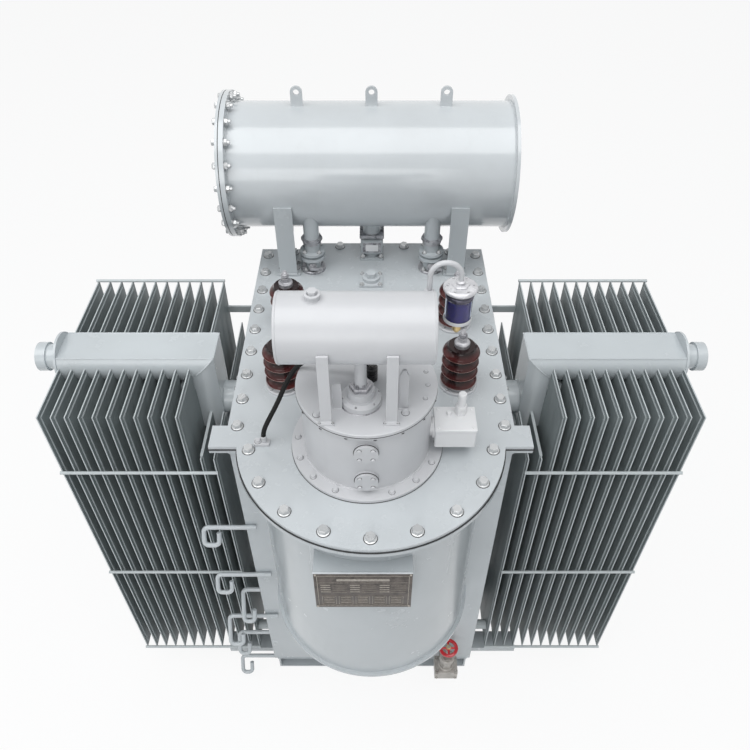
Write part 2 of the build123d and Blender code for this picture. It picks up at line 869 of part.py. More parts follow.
# Small conservator: open barrel with its two end plates and filler
barrel_half = small_length / 2 - small_end
with BuildPart() as small_shell:
    with BuildSketch(Plane.YZ.offset(small_x - barrel_half)):
        with Locations((small_y, small_rise)):
            Circle(small_radius)
            Circle(small_radius - small_wall, mode=Mode.SUBTRACT)
    extrude(amount=2 * barrel_half)
small_shell.part.label = "small_shell"
export_step(small_shell.part, "parts/small_shell.step")

for side, sign in sides:
    with BuildPart() as end_plate:
        with BuildSketch(Plane.YZ.offset(small_x + sign * barrel_half)):
            with Locations((small_y, small_rise)):
                Circle(small_radius)
        extrude(amount=sign * small_end)
        outer = end_plate.edges().filter_by(GeomType.CIRCLE).sort_by(Axis.X)
        fillet(outer[-1] if sign > 0 else outer[0], small_end / 2)
    end_plate.part.label = f"small_end_{side}"
    export_step(end_plate.part, f"parts/small_end_{side}.step")

with BuildPart() as filler:
    with BuildSketch(Plane.XY.offset(small_rise)):
        with Locations((filler_x, small_y)):
            Circle(filler_radius)
    extrude(amount=small_radius + filler_height)
    with BuildSketch(Plane.XY.offset(small_rise + small_radius + filler_height)):
        with Locations((filler_x, small_y)):
            RegularPolygon(filler_hex / 2, 6)
    extrude(amount=filler_hex_height)
    with BuildSketch(Plane.YZ.offset(filler_x - 2 * filler_radius)):
        with Locations((small_y, small_rise)):
            Circle(small_radius + curve_gap)
    extrude(amount=4 * filler_radius, mode=Mode.SUBTRACT)
filler.part.label = "filler_cap"
export_step(filler.part, "parts/filler_cap.step")

# Flat posts that carry the small conservator by its front
post_y = small_y - small_radius - curve_gap
for side, sign in sides:
    post_x = small_post_x + sign * small_post_spacing / 2
    with BuildPart() as post:
        with BuildSketch(Plane.XY.offset(lid_top)):
            with Locations((post_x, post_y - small_post_thickness / 2)):
                Rectangle(small_foot_length, small_foot_depth)
        extrude(amount=small_foot_thickness)
        with BuildSketch(Plane.XZ.offset(-post_y)):
            with Locations((post_x, (lid_top + small_post_top) / 2)):
                Rectangle(small_post_width, small_post_top - lid_top)
        extrude(amount=small_post_thickness)
    post.part.label = f"small_post_{side}"
    export_step(post.part, f"parts/small_post_{side}.step")

# Breather: foot, glass and cap
rim_base = breather_bottom + breather_foot_height
glass_base = rim_base + breather_rim_height
cap_base = glass_base + glass_height
pipe_foot = cap_base + breather_neck_height + breather_cap_height
riser_top = pipe_foot + breather_riser_lift
with BuildPart() as breather_base:
    with BuildSketch(Plane.XY.offset(breather_bottom)):
        with Locations((breather_x, breather_y)):
            Circle(breather_foot_radius)
    extrude(amount=breather_foot_height)
    with BuildSketch(Plane.XY.offset(rim_base)):
        with Locations((breather_x, breather_y)):
            Circle(breather_rim_radius)
    extrude(amount=breather_rim_height)
breather_base.part.label = "breather_base"
export_step(breather_base.part, "parts/breather_base.step")

with BuildPart() as breather_glass:
    with BuildSketch(Plane.XY.offset(glass_base)):
        with Locations((breather_x, breather_y)):
            Circle(glass_radius)
    extrude(amount=glass_height)
breather_glass.part.label = "breather_glass"
export_step(breather_glass.part, "parts/breather_glass.step")

with BuildPart() as breather_cap:
    with BuildSketch(Plane.XY.offset(cap_base)):
        with Locations((breather_x, breather_y)):
            Circle(breather_neck_radius)
    extrude(amount=breather_neck_height)
    with BuildSketch(Plane.XY.offset(cap_base + breather_neck_height)):
        with Locations((breather_x, breather_y)):
            Circle(breather_cap_radius)
    extrude(amount=breather_cap_height)
    fillet(breather_cap.edges().filter_by(GeomType.CIRCLE).group_by(Axis.Z)[-1], 5)
breather_cap.part.label = "breather_cap"
export_step(breather_cap.part, "parts/breather_cap.step")

# Breather pipe: up from the small conservator, over and down into the cap
riser_x = breather_x - 2 * breather_bend
with BuildPart() as breather_pipe:
    with BuildLine():
        Line((riser_x, breather_y, small_rise), (riser_x, breather_y, riser_top))
        ThreePointArc(
            (riser_x, breather_y, riser_top),
            (riser_x + breather_bend, breather_y, riser_top + breather_bend),
            (breather_x, breather_y, riser_top),
        )
        Line((breather_x, breather_y, riser_top), (breather_x, breather_y, pipe_foot))
    with BuildSketch(Plane.XY.offset(small_rise)):
        with Locations((riser_x, breather_y)):
            Circle(breather_pipe_radius)
    sweep()
    with BuildSketch(Plane.YZ.offset(riser_x - 2 * breather_pipe_radius)):
        with Locations((small_y, small_rise)):
            Circle(small_radius + curve_gap)
    extrude(amount=4 * breather_pipe_radius, mode=Mode.SUBTRACT)
breather_pipe.part.label = "breather_pipe"
export_step(breather_pipe.part, "parts/breather_pipe.step")

# Bushings: metal base, shedded porcelain, terminal and stud as one turned form
bushing_places = [
    ("bushing_front_left", -bushing_front_spread, bushing_front),
    ("bushing_front_right", bushing_front_spread, bushing_front),
    ("bushing_rear_left", -bushing_rear_spread, bushing_rear),
    ("bushing_rear_right", bushing_rear_spread, bushing_rear),
]
shed_pitch = porcelain_height / shed_count
porcelain_base = cover_top + bushing_base_height
for name, place_x, place_y in bushing_places:
    with BuildPart() as bushing:
        with BuildSketch(Plane.XZ):
            with BuildLine():
                points = [(0, cover_top), (bushing_base_radius, cover_top)]
                points.append((bushing_base_radius, porcelain_base))
                points.append((porcelain_core, porcelain_base))
                for number in range(shed_count):
                    level = porcelain_base + number * shed_pitch
                    points.append((porcelain_core, level + shed_pitch * 0.35))
                    points.append((shed_radius, level + shed_pitch * 0.42))
                    points.append((shed_radius, level + shed_pitch * 0.55))
                    points.append((porcelain_core, level + shed_pitch * 0.95))
                top = porcelain_base + porcelain_height
                points.append((terminal_radius, top))
                points.append((terminal_radius, top + terminal_height))
                points.append((stud_nut_radius, top + terminal_height))
                points.append((stud_nut_radius, top + terminal_height + stud_nut_height))
                points.append((stud_radius, top + terminal_height + stud_nut_height))
                points.append((stud_radius, top + terminal_height + stud_height))
                points.append((0, top + terminal_height + stud_height))
                Polyline(*points, close=True)
            make_face()
        revolve(axis=Axis.Z)
    moved = bushing.part.moved(Location((place_x, front_y + place_y, 0)))
    moved.label = name
    export_step(moved, f"parts/{name}.step")

# Junction box on a short neck from the turret, with its gland
with BuildPart() as junction_box:
    with BuildSketch(Plane.XY.offset(box_rise)):
        with Locations((box_left + box_length / 2, box_y)):
            Rectangle(box_length, box_depth)
    extrude(amount=box_height)
    fillet(junction_box.edges().filter_by(Axis.Z), 6)
    with BuildSketch(Plane.YZ.offset(turret_x)):
        with Locations((box_y, box_rise + box_height / 2)):
            Circle(box_neck_radius)
    extrude(amount=box_left - turret_x)
    with BuildSketch(Plane.XY.offset(cover_top)):
        with Locations((turret_x, turret_y)):
            Circle(turret_radius + curve_gap)
    extrude(amount=turret_height, mode=Mode.SUBTRACT)
junction_box.part.label = "junction_box"
export_step(junction_box.part, "parts/junction_box.step")

with BuildPart() as gland:
    with BuildSketch(Plane.XY.offset(box_rise + box_height)):
        with Locations((gland_x, gland_y)):
            Circle(gland_radius)
    extrude(amount=gland_height)
    with BuildSketch(Plane.XY.offset(box_rise + box_height + gland_height)):
        with Locations((gland_x, gland_y)):
            Circle(gland_cap_radius)
    extrude(amount=gland_cap_height)
    fillet(gland.edges().filter_by(GeomType.CIRCLE).group_by(Axis.Z)[-1], 5)
gland.part.label = "box_gland"
export_step(gland.part, "parts/box_gland.step")

# Earthing lead: lug on the cover, black post on the lid and the lead between
pad_y = front_y + lead_pad_place
lead_start_x = lead_pad_x + lead_start_shift
with BuildPart() as lead_lug:
    with BuildSketch(Plane.XY.offset(cover_top)):
        with Locations((lead_pad_x, pad_y)):
            RectangleRounded(lead_pad_length, lead_pad_depth, 5)
    extrude(amount=lead_pad_height)
    with BuildSketch(Plane.XY.offset(cover_top + lead_pad_height)):
        with Locations((lead_start_x, pad_y)):
            Circle(lead_socket_radius)
    extrude(amount=lead_socket_height)
lead_lug.part.label = "lead_lug"
export_step(lead_lug.part, "parts/lead_lug.step")

post_y = front_y + terminal_post_place
clamp_base = lid_top + terminal_post_height
with BuildPart() as lid_terminal:
    with BuildSketch(Plane.XY.offset(lid_top)):
        with Locations((terminal_post_x, post_y)):
            Circle(terminal_post_radius)
    extrude(amount=terminal_post_height)
    with BuildSketch(Plane.XY.offset(clamp_base)):
        with Locations((terminal_post_x, post_y)):
            Circle(terminal_clamp_radius)
    extrude(amount=terminal_clamp_height)
lid_terminal.part.label = "lid_terminal"
export_step(lid_terminal.part, "parts/lid_terminal.step")

lead_foot = cover_top + lead_pad_height + lead_socket_height
lead_end_gap = terminal_clamp_radius + lead_end_clearance
lead_end_turn = math.radians(157)
lead_route = [
    (lead_start_x, pad_y, lead_foot),
    (lead_start_x, pad_y, lead_foot + 28),
    (-318, front_y - 23, lead_foot + 71),
    (-290, front_y - 3, lead_foot + 118),
    (-255, front_y + 17, lead_foot + 198),
    (-215, front_y + 27, lead_foot + 263),
    (-160, front_y + 22, lead_foot + 288),
    (-100, front_y + 12, lead_foot + 298),
    (-45, front_y + 2, lead_foot + 304),
    (
        terminal_post_x + lead_end_gap * math.cos(lead_end_turn),
        post_y + lead_end_gap * math.sin(lead_end_turn),
        clamp_base + lead_radius + lead_end_clearance,
    ),
]
corner_radii = []
for before, corner, after in zip(lead_route, lead_route[1:], lead_route[2:]):
    first = Vector(*corner) - Vector(*before)
    second = Vector(*after) - Vector(*corner)
    turn = math.radians(first.get_angle(second))
    corner_radii.append(0.45 * min(first.length, second.length) / math.tan(turn / 2))
with BuildPart() as lead:
    with BuildLine() as lead_line:
        last = lead_route[0]
        for index, radius in enumerate(corner_radii):
            corner = Vector(*lead_route[index + 1])
            before = (Vector(*lead_route[index]) - corner).normalized()
            after = (Vector(*lead_route[index + 2]) - corner).normalized()
            setback = 0.45 * min(
                (Vector(*lead_route[index]) - corner).length,
                (Vector(*lead_route[index + 2]) - corner).length,
            )
            Line(last, corner + before * setback)
            TangentArc(corner + before * setback, corner + after * setback, tangent=-before)
            last = corner + after * setback
        Line(last, lead_route[-1])
    with BuildSketch(Plane.XY.offset(lead_foot)):
        with Locations((lead_start_x, pad_y)):
            Circle(lead_radius)
    sweep()
lead_length = sum(edge.length for edge in lead_line.edges())
print("lead corner radii", [round(radius) for radius in corner_radii])
print("lead length", round(lead_length, 1), "volume", round(lead.part.volume))
print("lead volume expected", round(math.pi * lead_radius**2 * lead_length))
lead.part.label = "earth_lead"
export_step(lead.part, "parts/earth_lead.step")

# Nameplate holder, its back shaped to the drum
with BuildPart() as holder:
    with BuildSketch(Plane.XY.offset(holder_bottom)):
        with Locations((holder_x, front_y - (holder_front + holder_back) / 2)):
            Rectangle(holder_width, holder_front - holder_back)
        with Locations((0, front_y)):
            Circle(drum_radius + curve_gap, mode=Mode.SUBTRACT)
    extrude(amount=holder_height)
holder.part.label = "nameplate_holder"
export_step(holder.part, "parts/nameplate_holder.step")

# Bent rod hooks: out to the left, down and back up
lean = math.radians(hook_lean)
plate_face = front_y - front_plate_thickness
side_roots = [front_plate_half_width] * len(side_hook_rises)
hook_sets = [
    (
        "hooks_front",
        zip(front_hook_roots, front_hook_rises, front_hook_drops, [hook_end] * 3),
        plate_face - hook_radius,
        hook_gap,
        hook_return,
    ),
    (
        "hooks_side",
        zip(side_roots, side_hook_rises, side_hook_drops, side_hook_ends),
        front_y - front_plate_thickness / 2,
        side_hook_gap,
        side_hook_return,
    ),
]
for name, hooks, root_y, gap, return_length in hook_sets:
    with BuildPart() as hook_set:
        for root, rise, drop_length, end in hooks:
            frame = Plane(
                origin=(-root, root_y, rise),
                x_dir=(-1, 0, 0),
                z_dir=(0, math.cos(lean), -math.sin(lean)),
            )
            reach = end - root
            with BuildLine(frame) as hook_line:
                FilletPolyline(
                    (0, 0),
                    (reach, 0),
                    (reach, -drop_length),
                    (reach - gap, -drop_length),
                    (reach - gap, -drop_length + return_length),
                    radius=hook_bend,
                )
            with BuildSketch(Plane(origin=(-root, root_y, rise), z_dir=(-1, 0, 0))):
                Circle(hook_radius)
            sweep(path=hook_line.wires()[0])
    hook_set.part.label = name
    export_step(hook_set.part, f"parts/{name}.step")

# Drain valve: pipe, square body, bonnet and spindle
drain_y = front_y + drain_place
drain_top = drain_rise + drain_height
bonnet_top = drain_top + bonnet_height
with BuildPart() as drain_valve:
    with BuildSketch(Plane.XY.offset(drain_rise)):
        with Locations((drain_x, drain_y)):
            Rectangle(drain_block, drain_depth)
    extrude(amount=drain_height)
    with BuildSketch(Plane.XZ.offset(-front_y + front_plate_thickness)):
        with Locations((drain_x, drain_rise + drain_height / 2)):
            Circle(drain_pipe_radius)
    extrude(amount=-drain_place - front_plate_thickness)
    with BuildSketch(Plane.XY.offset(drain_top)):
        with Locations((drain_x, drain_y)):
            RegularPolygon(bonnet_radius, 6)
    extrude(amount=bonnet_height)
    with BuildSketch(Plane.XY.offset(bonnet_top)):
        with Locations((drain_x, drain_y)):
            Circle(spindle_radius)
    extrude(amount=spindle_height)
drain_valve.part.label = "drain_valve"
export_step(drain_valve.part, "parts/drain_valve.step")

# Handwheel: rim, spokes and hub that turn on the spindle
wheel_level = bonnet_top + spindle_height - spindle_tip - wheel_hub_height
with BuildPart() as wheel:
    with BuildSketch(Plane.XY.offset(wheel_level)):
        with Locations((drain_x, drain_y)):
            Circle(wheel_hub_radius)
    extrude(amount=wheel_hub_height)
    with BuildSketch(Plane.XY.offset(wheel_level + (wheel_hub_height - wheel_spoke_height) / 2)):
        with Locations((drain_x, drain_y)):
            for number in range(wheel_spokes // 2):
                Rectangle(
                    2 * (wheel_radius - wheel_rim_radius),
                    wheel_spoke_width,
                    rotation=number * 360 / wheel_spokes,
                )
    extrude(amount=wheel_spoke_height)
    rim_plane = Plane(origin=(drain_x, drain_y, wheel_level + wheel_hub_height / 2))
    with Locations(rim_plane):
        Torus(wheel_radius - wheel_rim_radius, wheel_rim_radius)
    with BuildSketch(Plane.XY.offset(wheel_level)):
        with Locations((drain_x, drain_y)):
            Circle(spindle_radius + wheel_gap)
    extrude(amount=wheel_hub_height, mode=Mode.SUBTRACT)
wheel.part.label = "drain_wheel"
export_step(wheel.part, "parts/drain_wheel.step")
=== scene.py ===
import math
import random

import bmesh
import bpy
from mathutils import Matrix, Vector


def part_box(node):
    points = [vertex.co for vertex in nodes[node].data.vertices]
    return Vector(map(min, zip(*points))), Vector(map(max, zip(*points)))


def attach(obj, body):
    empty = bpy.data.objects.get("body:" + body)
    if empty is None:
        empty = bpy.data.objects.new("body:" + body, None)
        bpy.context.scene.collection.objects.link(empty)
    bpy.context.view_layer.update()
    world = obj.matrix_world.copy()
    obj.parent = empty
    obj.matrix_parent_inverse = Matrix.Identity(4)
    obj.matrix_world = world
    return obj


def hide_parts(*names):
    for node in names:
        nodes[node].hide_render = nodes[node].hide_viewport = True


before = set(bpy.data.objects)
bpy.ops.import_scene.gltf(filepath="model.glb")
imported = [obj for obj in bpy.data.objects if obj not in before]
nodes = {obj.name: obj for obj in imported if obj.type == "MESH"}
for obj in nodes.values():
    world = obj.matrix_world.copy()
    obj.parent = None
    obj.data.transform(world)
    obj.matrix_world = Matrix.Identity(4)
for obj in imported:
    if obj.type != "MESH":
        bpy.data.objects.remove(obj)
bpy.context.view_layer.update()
body = "plant"
sideSigns = {"left": -1, "right": 1}
random.seed(7)


def middle(name):
    low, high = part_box(name)
    return (low + high) / 2


# Places read from the CAD frame, in metres
tankLow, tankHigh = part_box("tank_body")
coverLow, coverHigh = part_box("cover")
flangeLow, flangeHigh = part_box("tank_flange")
shellLow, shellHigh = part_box("conservator_shell")
tankFront = tankLow.y
coverTop = coverHigh.z
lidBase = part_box("turret")[1].z
lidTop = lidBase + 0.012
turretAt = Vector((middle("turret").x, middle("turret_lid").y, coverTop))
shellAt = Vector((0, middle("conservator_shell").y, middle("conservator_shell").z))
print("frame loaded:", len(nodes), "nodes")


# Shader helpers
def feed(tree, socket, value):
    # Links the socket to an output, or sets it to a plain value
    if hasattr(value, "is_output"):
        tree.links.new(value, socket)
    else:
        socket.default_value = value


def addNode(tree, kind, values=None, **settings):
    node = tree.nodes.new(kind)
    for key, value in settings.items():
        setattr(node, key, value)
    for key, value in (values or {}).items():
        feed(tree, node.inputs[key], value)
    return node


def mathNode(tree, operation, *values):
    return addNode(tree, "ShaderNodeMath", dict(enumerate(values)), operation=operation).outputs[0]


def noiseNode(tree, place, scale, detail, rough=0.5):
    values = {"Vector": place, "Scale": scale, "Detail": detail, "Roughness": rough}
    return addNode(tree, "ShaderNodeTexNoise", values).outputs["Fac"]


def mapRange(tree, value, low, high, toLow=0.0, toHigh=1.0):
    values = dict(enumerate((value, low, high, toLow, toHigh)))
    return addNode(tree, "ShaderNodeMapRange", values).outputs[0]


def mixColour(tree, factor, first, second):
    values = {0: factor, 6: first, 7: second}
    return addNode(tree, "ShaderNodeMix", values, data_type="RGBA").outputs[2]


def newGroup(name, inputs, outputs):
    group = bpy.data.node_groups.new(name, "ShaderNodeTree")
    for label, value in inputs.items():
        kind = "NodeSocketColor" if isinstance(value, tuple) else "NodeSocketFloat"
        socket = group.interface.new_socket(label, in_out="INPUT", socket_type=kind)
        socket.default_value = value
    for label in outputs:
        kind = "NodeSocketColor" if label == "Colour" else "NodeSocketFloat"
        group.interface.new_socket(label, in_out="OUTPUT", socket_type=kind)
    place = addNode(group, "ShaderNodeTexCoord").outputs
    return group, place, addNode(group, "NodeGroupInput").outputs, addNode(group, "NodeGroupOutput").inputs


# Shader groups
def paintGroup():
    # Sprayed gloss enamel: broad tint drift, faint run-down streaks, dust and orange peel
    group, place, given, made = newGroup(
        "sprayedPaint",
        {"Colour": (0.6, 0.6, 0.6, 1), "Dust Colour": (0.4, 0.4, 0.38, 1), "Dust": 0.15, "Gloss": 0.3},
        ("Colour", "Roughness", "Height"),
    )
    at = place["Object"]
    stretched = addNode(group, "ShaderNodeMapping", {"Vector": at, "Scale": (26, 26, 1.6)}).outputs[0]
    drift = mapRange(group, noiseNode(group, at, 2.6, 4), 0.3, 0.7, 0.93, 1.04)
    streak = mapRange(group, noiseNode(group, stretched, 1.0, 5, 0.6), 0.55, 0.8)
    blotch = mapRange(group, noiseNode(group, at, 9.0, 6, 0.65), 0.5, 0.75)
    amount = mathNode(group, "MULTIPLY", mathNode(group, "MAXIMUM", streak, blotch), given["Dust"])
    tinted = addNode(group, "ShaderNodeVectorMath", operation="SCALE")
    feed(group, tinted.inputs[0], given["Colour"])
    feed(group, tinted.inputs["Scale"], drift)
    feed(group, made["Colour"], mixColour(group, amount, tinted.outputs[0], given["Dust Colour"]))
    feed(group, made["Roughness"], mathNode(group, "MULTIPLY_ADD", amount, 0.8, given["Gloss"]))
    peel = noiseNode(group, at, 260.0, 2)
    sag = noiseNode(group, at, 34.0, 2)
    feed(group, made["Height"], mathNode(group, "MULTIPLY_ADD", sag, 2.0, peel))
    return group


def speckGroup():
    # Fine speckle and soft cloud for everything that isn't sprayed paint
    group, place, given, made = newGroup(
        "fineSpeckle",
        {"Light": (0.6, 0.6, 0.6, 1), "Dark": (0.3, 0.3, 0.3, 1), "Scale": 60.0, "Gloss": 0.3, "Spread": 0.2},
        ("Colour", "Roughness", "Height"),
    )
    mask = mapRange(group, noiseNode(group, place["Object"], given["Scale"], 6.0, 0.6), 0.35, 0.65)
    feed(group, made["Colour"], mixColour(group, mask, given["Dark"], given["Light"]))
    feed(group, made["Roughness"], mathNode(group, "MULTIPLY_ADD", mask, given["Spread"], given["Gloss"]))
    feed(group, made["Height"], mask)
    return group


def panelShadeGroup():
    # Painted shade: 1 on the sides between two radiator panels, which are darkened as if shaded, 0 on seams,
    # tips and the outermost faces
    group, place, given, made = newGroup(
        "panelSideShade", {"Seam": 0.45, "Side": 0.9, "Inner Faces": 1.081, "Last Face": 1.083}, ("Mask",),
    )
    facing, across = (
        mathNode(group, "ABSOLUTE", addNode(group, "ShaderNodeSeparateXYZ", {0: place[key]}).outputs["X"])
        for key in ("Normal", "Object")
    )
    broad = mapRange(group, facing, given["Seam"], given["Side"])
    within = mapRange(group, across, given["Inner Faces"], given["Last Face"], 1.0, 0.0)
    feed(group, made["Mask"], mathNode(group, "MULTIPLY", broad, within))
    return group


def shedShadeGroup():
    # 0 at a bushing's core, where painted shade darkens the glaze between sheds, to 1 on the rims of its
    # sheds
    group, place, given, made = newGroup("shedShade", {"Core": 0.046, "Rim": 0.061}, ("Mask",))
    level = addNode(group, "ShaderNodeVectorMath", operation="MULTIPLY")
    feed(group, level.inputs[0], place["Object"])
    feed(group, level.inputs[1], (1, 1, 0))
    reach = addNode(group, "ShaderNodeVectorMath", operation="LENGTH")
    feed(group, reach.inputs[0], level.outputs[0])
    feed(group, made["Mask"], mapRange(group, reach.outputs["Value"], given["Core"], given["Rim"]))
    return group


sprayedPaint = paintGroup()
fineSpeckle = speckGroup()
shedShade = shedShadeGroup()
panelSideShade = panelShadeGroup()


def material(name, group, values, bump, bumpSize, shader):
    made = bpy.data.materials.new(name)
    made.use_nodes = True
    tree = made.node_tree
    tree.nodes.clear()
    detail = addNode(tree, "ShaderNodeGroup", values, name="detail", node_tree=group).outputs
    look = {"Base Color": detail["Colour"], "Roughness": detail["Roughness"], **shader}
    if bump:
        relief = {"Strength": bump, "Distance": bumpSize, "Height": detail["Height"]}
        look["Normal"] = addNode(tree, "ShaderNodeBump", relief).outputs[0]
    surface = addNode(tree, "ShaderNodeBsdfPrincipled", look)
    addNode(tree, "ShaderNodeOutputMaterial", {0: surface.outputs[0]})
    return made


def paint(name, colour, dust=0.08, gloss=0.24, bump=0.10, coat=0.3, dustColour=(0.36, 0.37, 0.37),
          metallic=0.0):
    values = {"Colour": (*colour, 1), "Dust Colour": (*dustColour, 1), "Dust": dust, "Gloss": gloss}
    shader = {"Coat Weight": coat, "Coat Roughness": 0.12, "Metallic": metallic}
    return material(name, sprayedPaint, values, bump, 0.0006, shader)


def speckled(name, light, dark, scale, gloss, spread=0.2, bump=0.3, bumpSize=0.0005, shader=None):
    values = {"Light": (*light, 1), "Dark": (*dark, 1), "Scale": scale, "Gloss": gloss, "Spread": spread}
    return material(name, fineSpeckle, values, bump, bumpSize, shader or {})


def tint(coat, label, group, atNone, atFull):
    # Runs one of the material's colours between two values, by how much the group's mask is set
    tree = coat.node_tree
    mask = addNode(tree, "ShaderNodeGroup", node_tree=group).outputs["Mask"]
    feed(tree, tree.nodes["detail"].inputs[label], mixColour(tree, mask, (*atNone, 1), (*atFull, 1)))


tankPaint = paint("tankPaint", (0.490, 0.525, 0.545), coat=0.2)
coverPaint = paint("coverPaint", (0.535, 0.568, 0.588), dust=0.14)
headerPaint = paint("headerPaint", (0.525, 0.565, 0.585))
turretPaint = paint("turretPaint", (0.580, 0.587, 0.605), gloss=0.32, coat=0.08)
boxPaint = paint("boxPaint", (0.770, 0.775, 0.785), gloss=0.30)
conservatorPaint = paint("conservatorPaint", (0.565, 0.598, 0.618), gloss=0.18, coat=0.6)
boltPaint = paint("boltPaint", (0.590, 0.600, 0.605), dust=0.45, gloss=0.18, bump=0.5, metallic=0.4)
finPaint = paint("finPaint", (0.50, 0.54, 0.55), dust=0.16, gloss=0.52, coat=0.0)
# Painted shade: the fin paint turns darker on the sides between two panels
tint(finPaint, "Colour", panelSideShade, (0.50, 0.54, 0.55), (0.240, 0.275, 0.282))
wheelPaint = paint("wheelPaint", (0.560, 0.012, 0.022), gloss=0.22, dustColour=(0.3, 0.05, 0.05))

gasketRubber = speckled("gasketRubber", (0.022, 0.022, 0.024), (0.010, 0.010, 0.011), 120, 0.55)
# Dark grey for the rings of painted shade round the feet of bolts
boltShadeGrey = speckled("boltShadeGrey", (0.110, 0.112, 0.112), (0.045, 0.045, 0.046), 150, 0.70)
leadRubber = speckled("leadRubber", (0.030, 0.030, 0.032), (0.014, 0.014, 0.015), 90, 0.30)
blackSleeve = speckled("blackSleeve", (0.006, 0.006, 0.006), (0.003, 0.003, 0.003), 90, 0.50,
                       bump=0.2, shader={"Specular IOR Level": 0.25})
brownGlaze = speckled("brownGlaze", (0.086, 0.013, 0.012), (0.048, 0.007, 0.007), 14, 0.11,
                      0.02, 0.05, 0.0003, {"Specular IOR Level": 0.36})
# Painted shade: the glaze is made darker towards the core, between the sheds
tint(brownGlaze, "Light", shedShade, (0.014, 0.003, 0.003), (0.086, 0.013, 0.012))
tint(brownGlaze, "Dark", shedShade, (0.008, 0.002, 0.002), (0.048, 0.007, 0.007))
# A pale glaze for thin rings on the shed rims: a painted highlight
rimHighlightGlaze = speckled("rimHighlightGlaze", (0.36, 0.22, 0.20), (0.20, 0.09, 0.08), 60, 0.15, 0.1, 0.1)
polishedCap = speckled("polishedCap", (0.68, 0.68, 0.70), (0.50, 0.50, 0.52), 30, 0.20,
                       0.12, 0.4, 0.001, {"Metallic": 0.25})
baredSteel = speckled("baredSteel", (0.62, 0.61, 0.60), (0.34, 0.33, 0.32), 70, 0.24,
                      bump=0.2, shader={"Metallic": 1.0})
castBrass = speckled("castBrass", (0.66, 0.52, 0.28), (0.46, 0.34, 0.16), 80, 0.26,
                     shader={"Metallic": 1.0})
valveMetal = speckled("valveMetal", (0.50, 0.475, 0.445), (0.34, 0.32, 0.295), 40, 0.34,
                      0.2, 0.4, 0.001, {"Metallic": 0.3})
plateMetal = speckled("plateMetal", (0.150, 0.132, 0.120), (0.062, 0.054, 0.050), 45, 0.30,
                      bump=0.25, shader={"Metallic": 0.6})
plateRelief = speckled("plateRelief", (0.44, 0.41, 0.37), (0.25, 0.23, 0.20), 160, 0.28,
                       bump=0.25, shader={"Metallic": 0.8})
gelBeads = speckled("gelBeads", (0.036, 0.020, 0.230), (0.009, 0.004, 0.070), 340, 0.45,
                    0.1, 0.9, 0.0015)
castSilver = speckled("castSilver", (0.50, 0.50, 0.52), (0.27, 0.27, 0.29), 38, 0.24,
                      0.18, 0.7, 0.0012, {"Metallic": 0.55})
smokedBand = speckled("smokedBand", (0.100, 0.095, 0.130), (0.045, 0.042, 0.065), 30, 0.12,
                      0.1, 0.1, shader={"Metallic": 0.7, "Coat Weight": 0.5})
clearGlass = speckled("clearGlass", (0.86, 0.88, 0.98), (0.80, 0.83, 0.95), 12, 0.03,
                      0.02, 0.0, shader={"Transmission Weight": 1.0, "IOR": 1.30})

# The CAD parts that keep their own form, by what they're coated with
dressing = {
    tankPaint: "tank_body front_plate drum tank_flange skid_front skid_rear oil_pipe_left oil_pipe_right "
               "conservator_bracket_left conservator_bracket_right gas_relay nameplate_holder "
               "hooks_front hooks_side",
    coverPaint: "cover thermometer_pocket",
    gasketRubber: "cover_gasket conservator_gasket",
    finPaint: "fins_left fins_right braces_left braces_right lower_header_left lower_header_right",
    headerPaint: "upper_header_left upper_header_right",
    conservatorPaint: "conservator_shell conservator_cover conservator_end conservator_lugs",
    turretPaint: "turret turret_lid turret_feed small_shell small_end_left small_end_right small_post_left "
                 "small_post_right filler_cap breather_cap breather_pipe lead_lug",
    castBrass: "breather_base",
    boxPaint: "junction_box box_gland",
    valveMetal: "drain_valve",
    wheelPaint: "drain_wheel",
}
for coat, dressed in dressing.items():
    for name in dressed.split():
        nodes[name].data.materials.clear()
        nodes[name].data.materials.append(coat)
print("frame nodes dressed:", sum(len(dressed.split()) for dressed in dressing.values()))


# Mesh helpers
def newObject(name, data, place=(0, 0, 0)):
    made = bpy.data.objects.new(name, data)
    made.location = place
    bpy.context.scene.collection.objects.link(made)
    return made


def piece(name, mesh, coat, rides=body, smooth=40, origin=(0, 0, 0)):
    data = bpy.data.meshes.new(name)
    bmesh.ops.translate(mesh, verts=mesh.verts, vec=-Vector(origin))
    mesh.normal_update()
    mesh.to_mesh(data)
    mesh.free()
    data.materials.append(coat)
    data.shade_smooth()
    data.set_sharp_from_angle(angle=math.radians(smooth))
    made = newObject(name, data, origin)
    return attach(made, rides)


def aim(direction, spin=0.0):
    turn = Vector(direction).to_track_quat("Z", "Y").to_matrix().to_4x4()
    return turn @ Matrix.Rotation(spin, 4, "Z")


def stand(x, y, z=0.0, direction=None):
    place = Matrix.Translation((x, y, z))
    return place @ aim(direction) if direction else place


def ringSpots(count, radius, first=0.0):
    # Points spaced evenly round a circle, from an angle in degrees
    turns = [math.radians(first + 360 * step / count) for step in range(count)]
    return [(radius * math.cos(turn), radius * math.sin(turn)) for turn in turns]


def pairUp(rows, closed):
    # Each row with the next, and the last with the first where the run closes
    return list(zip(rows, rows[1:])) + ([(rows[-1], rows[0])] if closed else [])


def addRings(mesh, rings, sides, matrix, closed=False):
    # Rings of (radius, height) joined into a turned form; a radius of 0 closes to a point
    rows = []
    for radius, height in rings:
        spots = ringSpots(sides, radius) if radius > 0 else [(0, 0)]
        rows.append([mesh.verts.new(matrix @ Vector((x, y, height))) for x, y in spots])
    for low, high in pairUp(rows, closed):
        for step in range(sides):
            after = (step + 1) % sides
            if len(low) == 1:
                mesh.faces.new((low[0], high[after], high[step]))
            elif len(high) == 1:
                mesh.faces.new((low[step], low[after], high[0]))
            else:
                mesh.faces.new((low[step], low[after], high[after], high[step]))


def turned(name, rings, sides, matrix, coat, closed=False, **finish):
    mesh = bmesh.new()
    addRings(mesh, rings, sides, matrix, closed)
    return piece(name, mesh, coat, **finish)


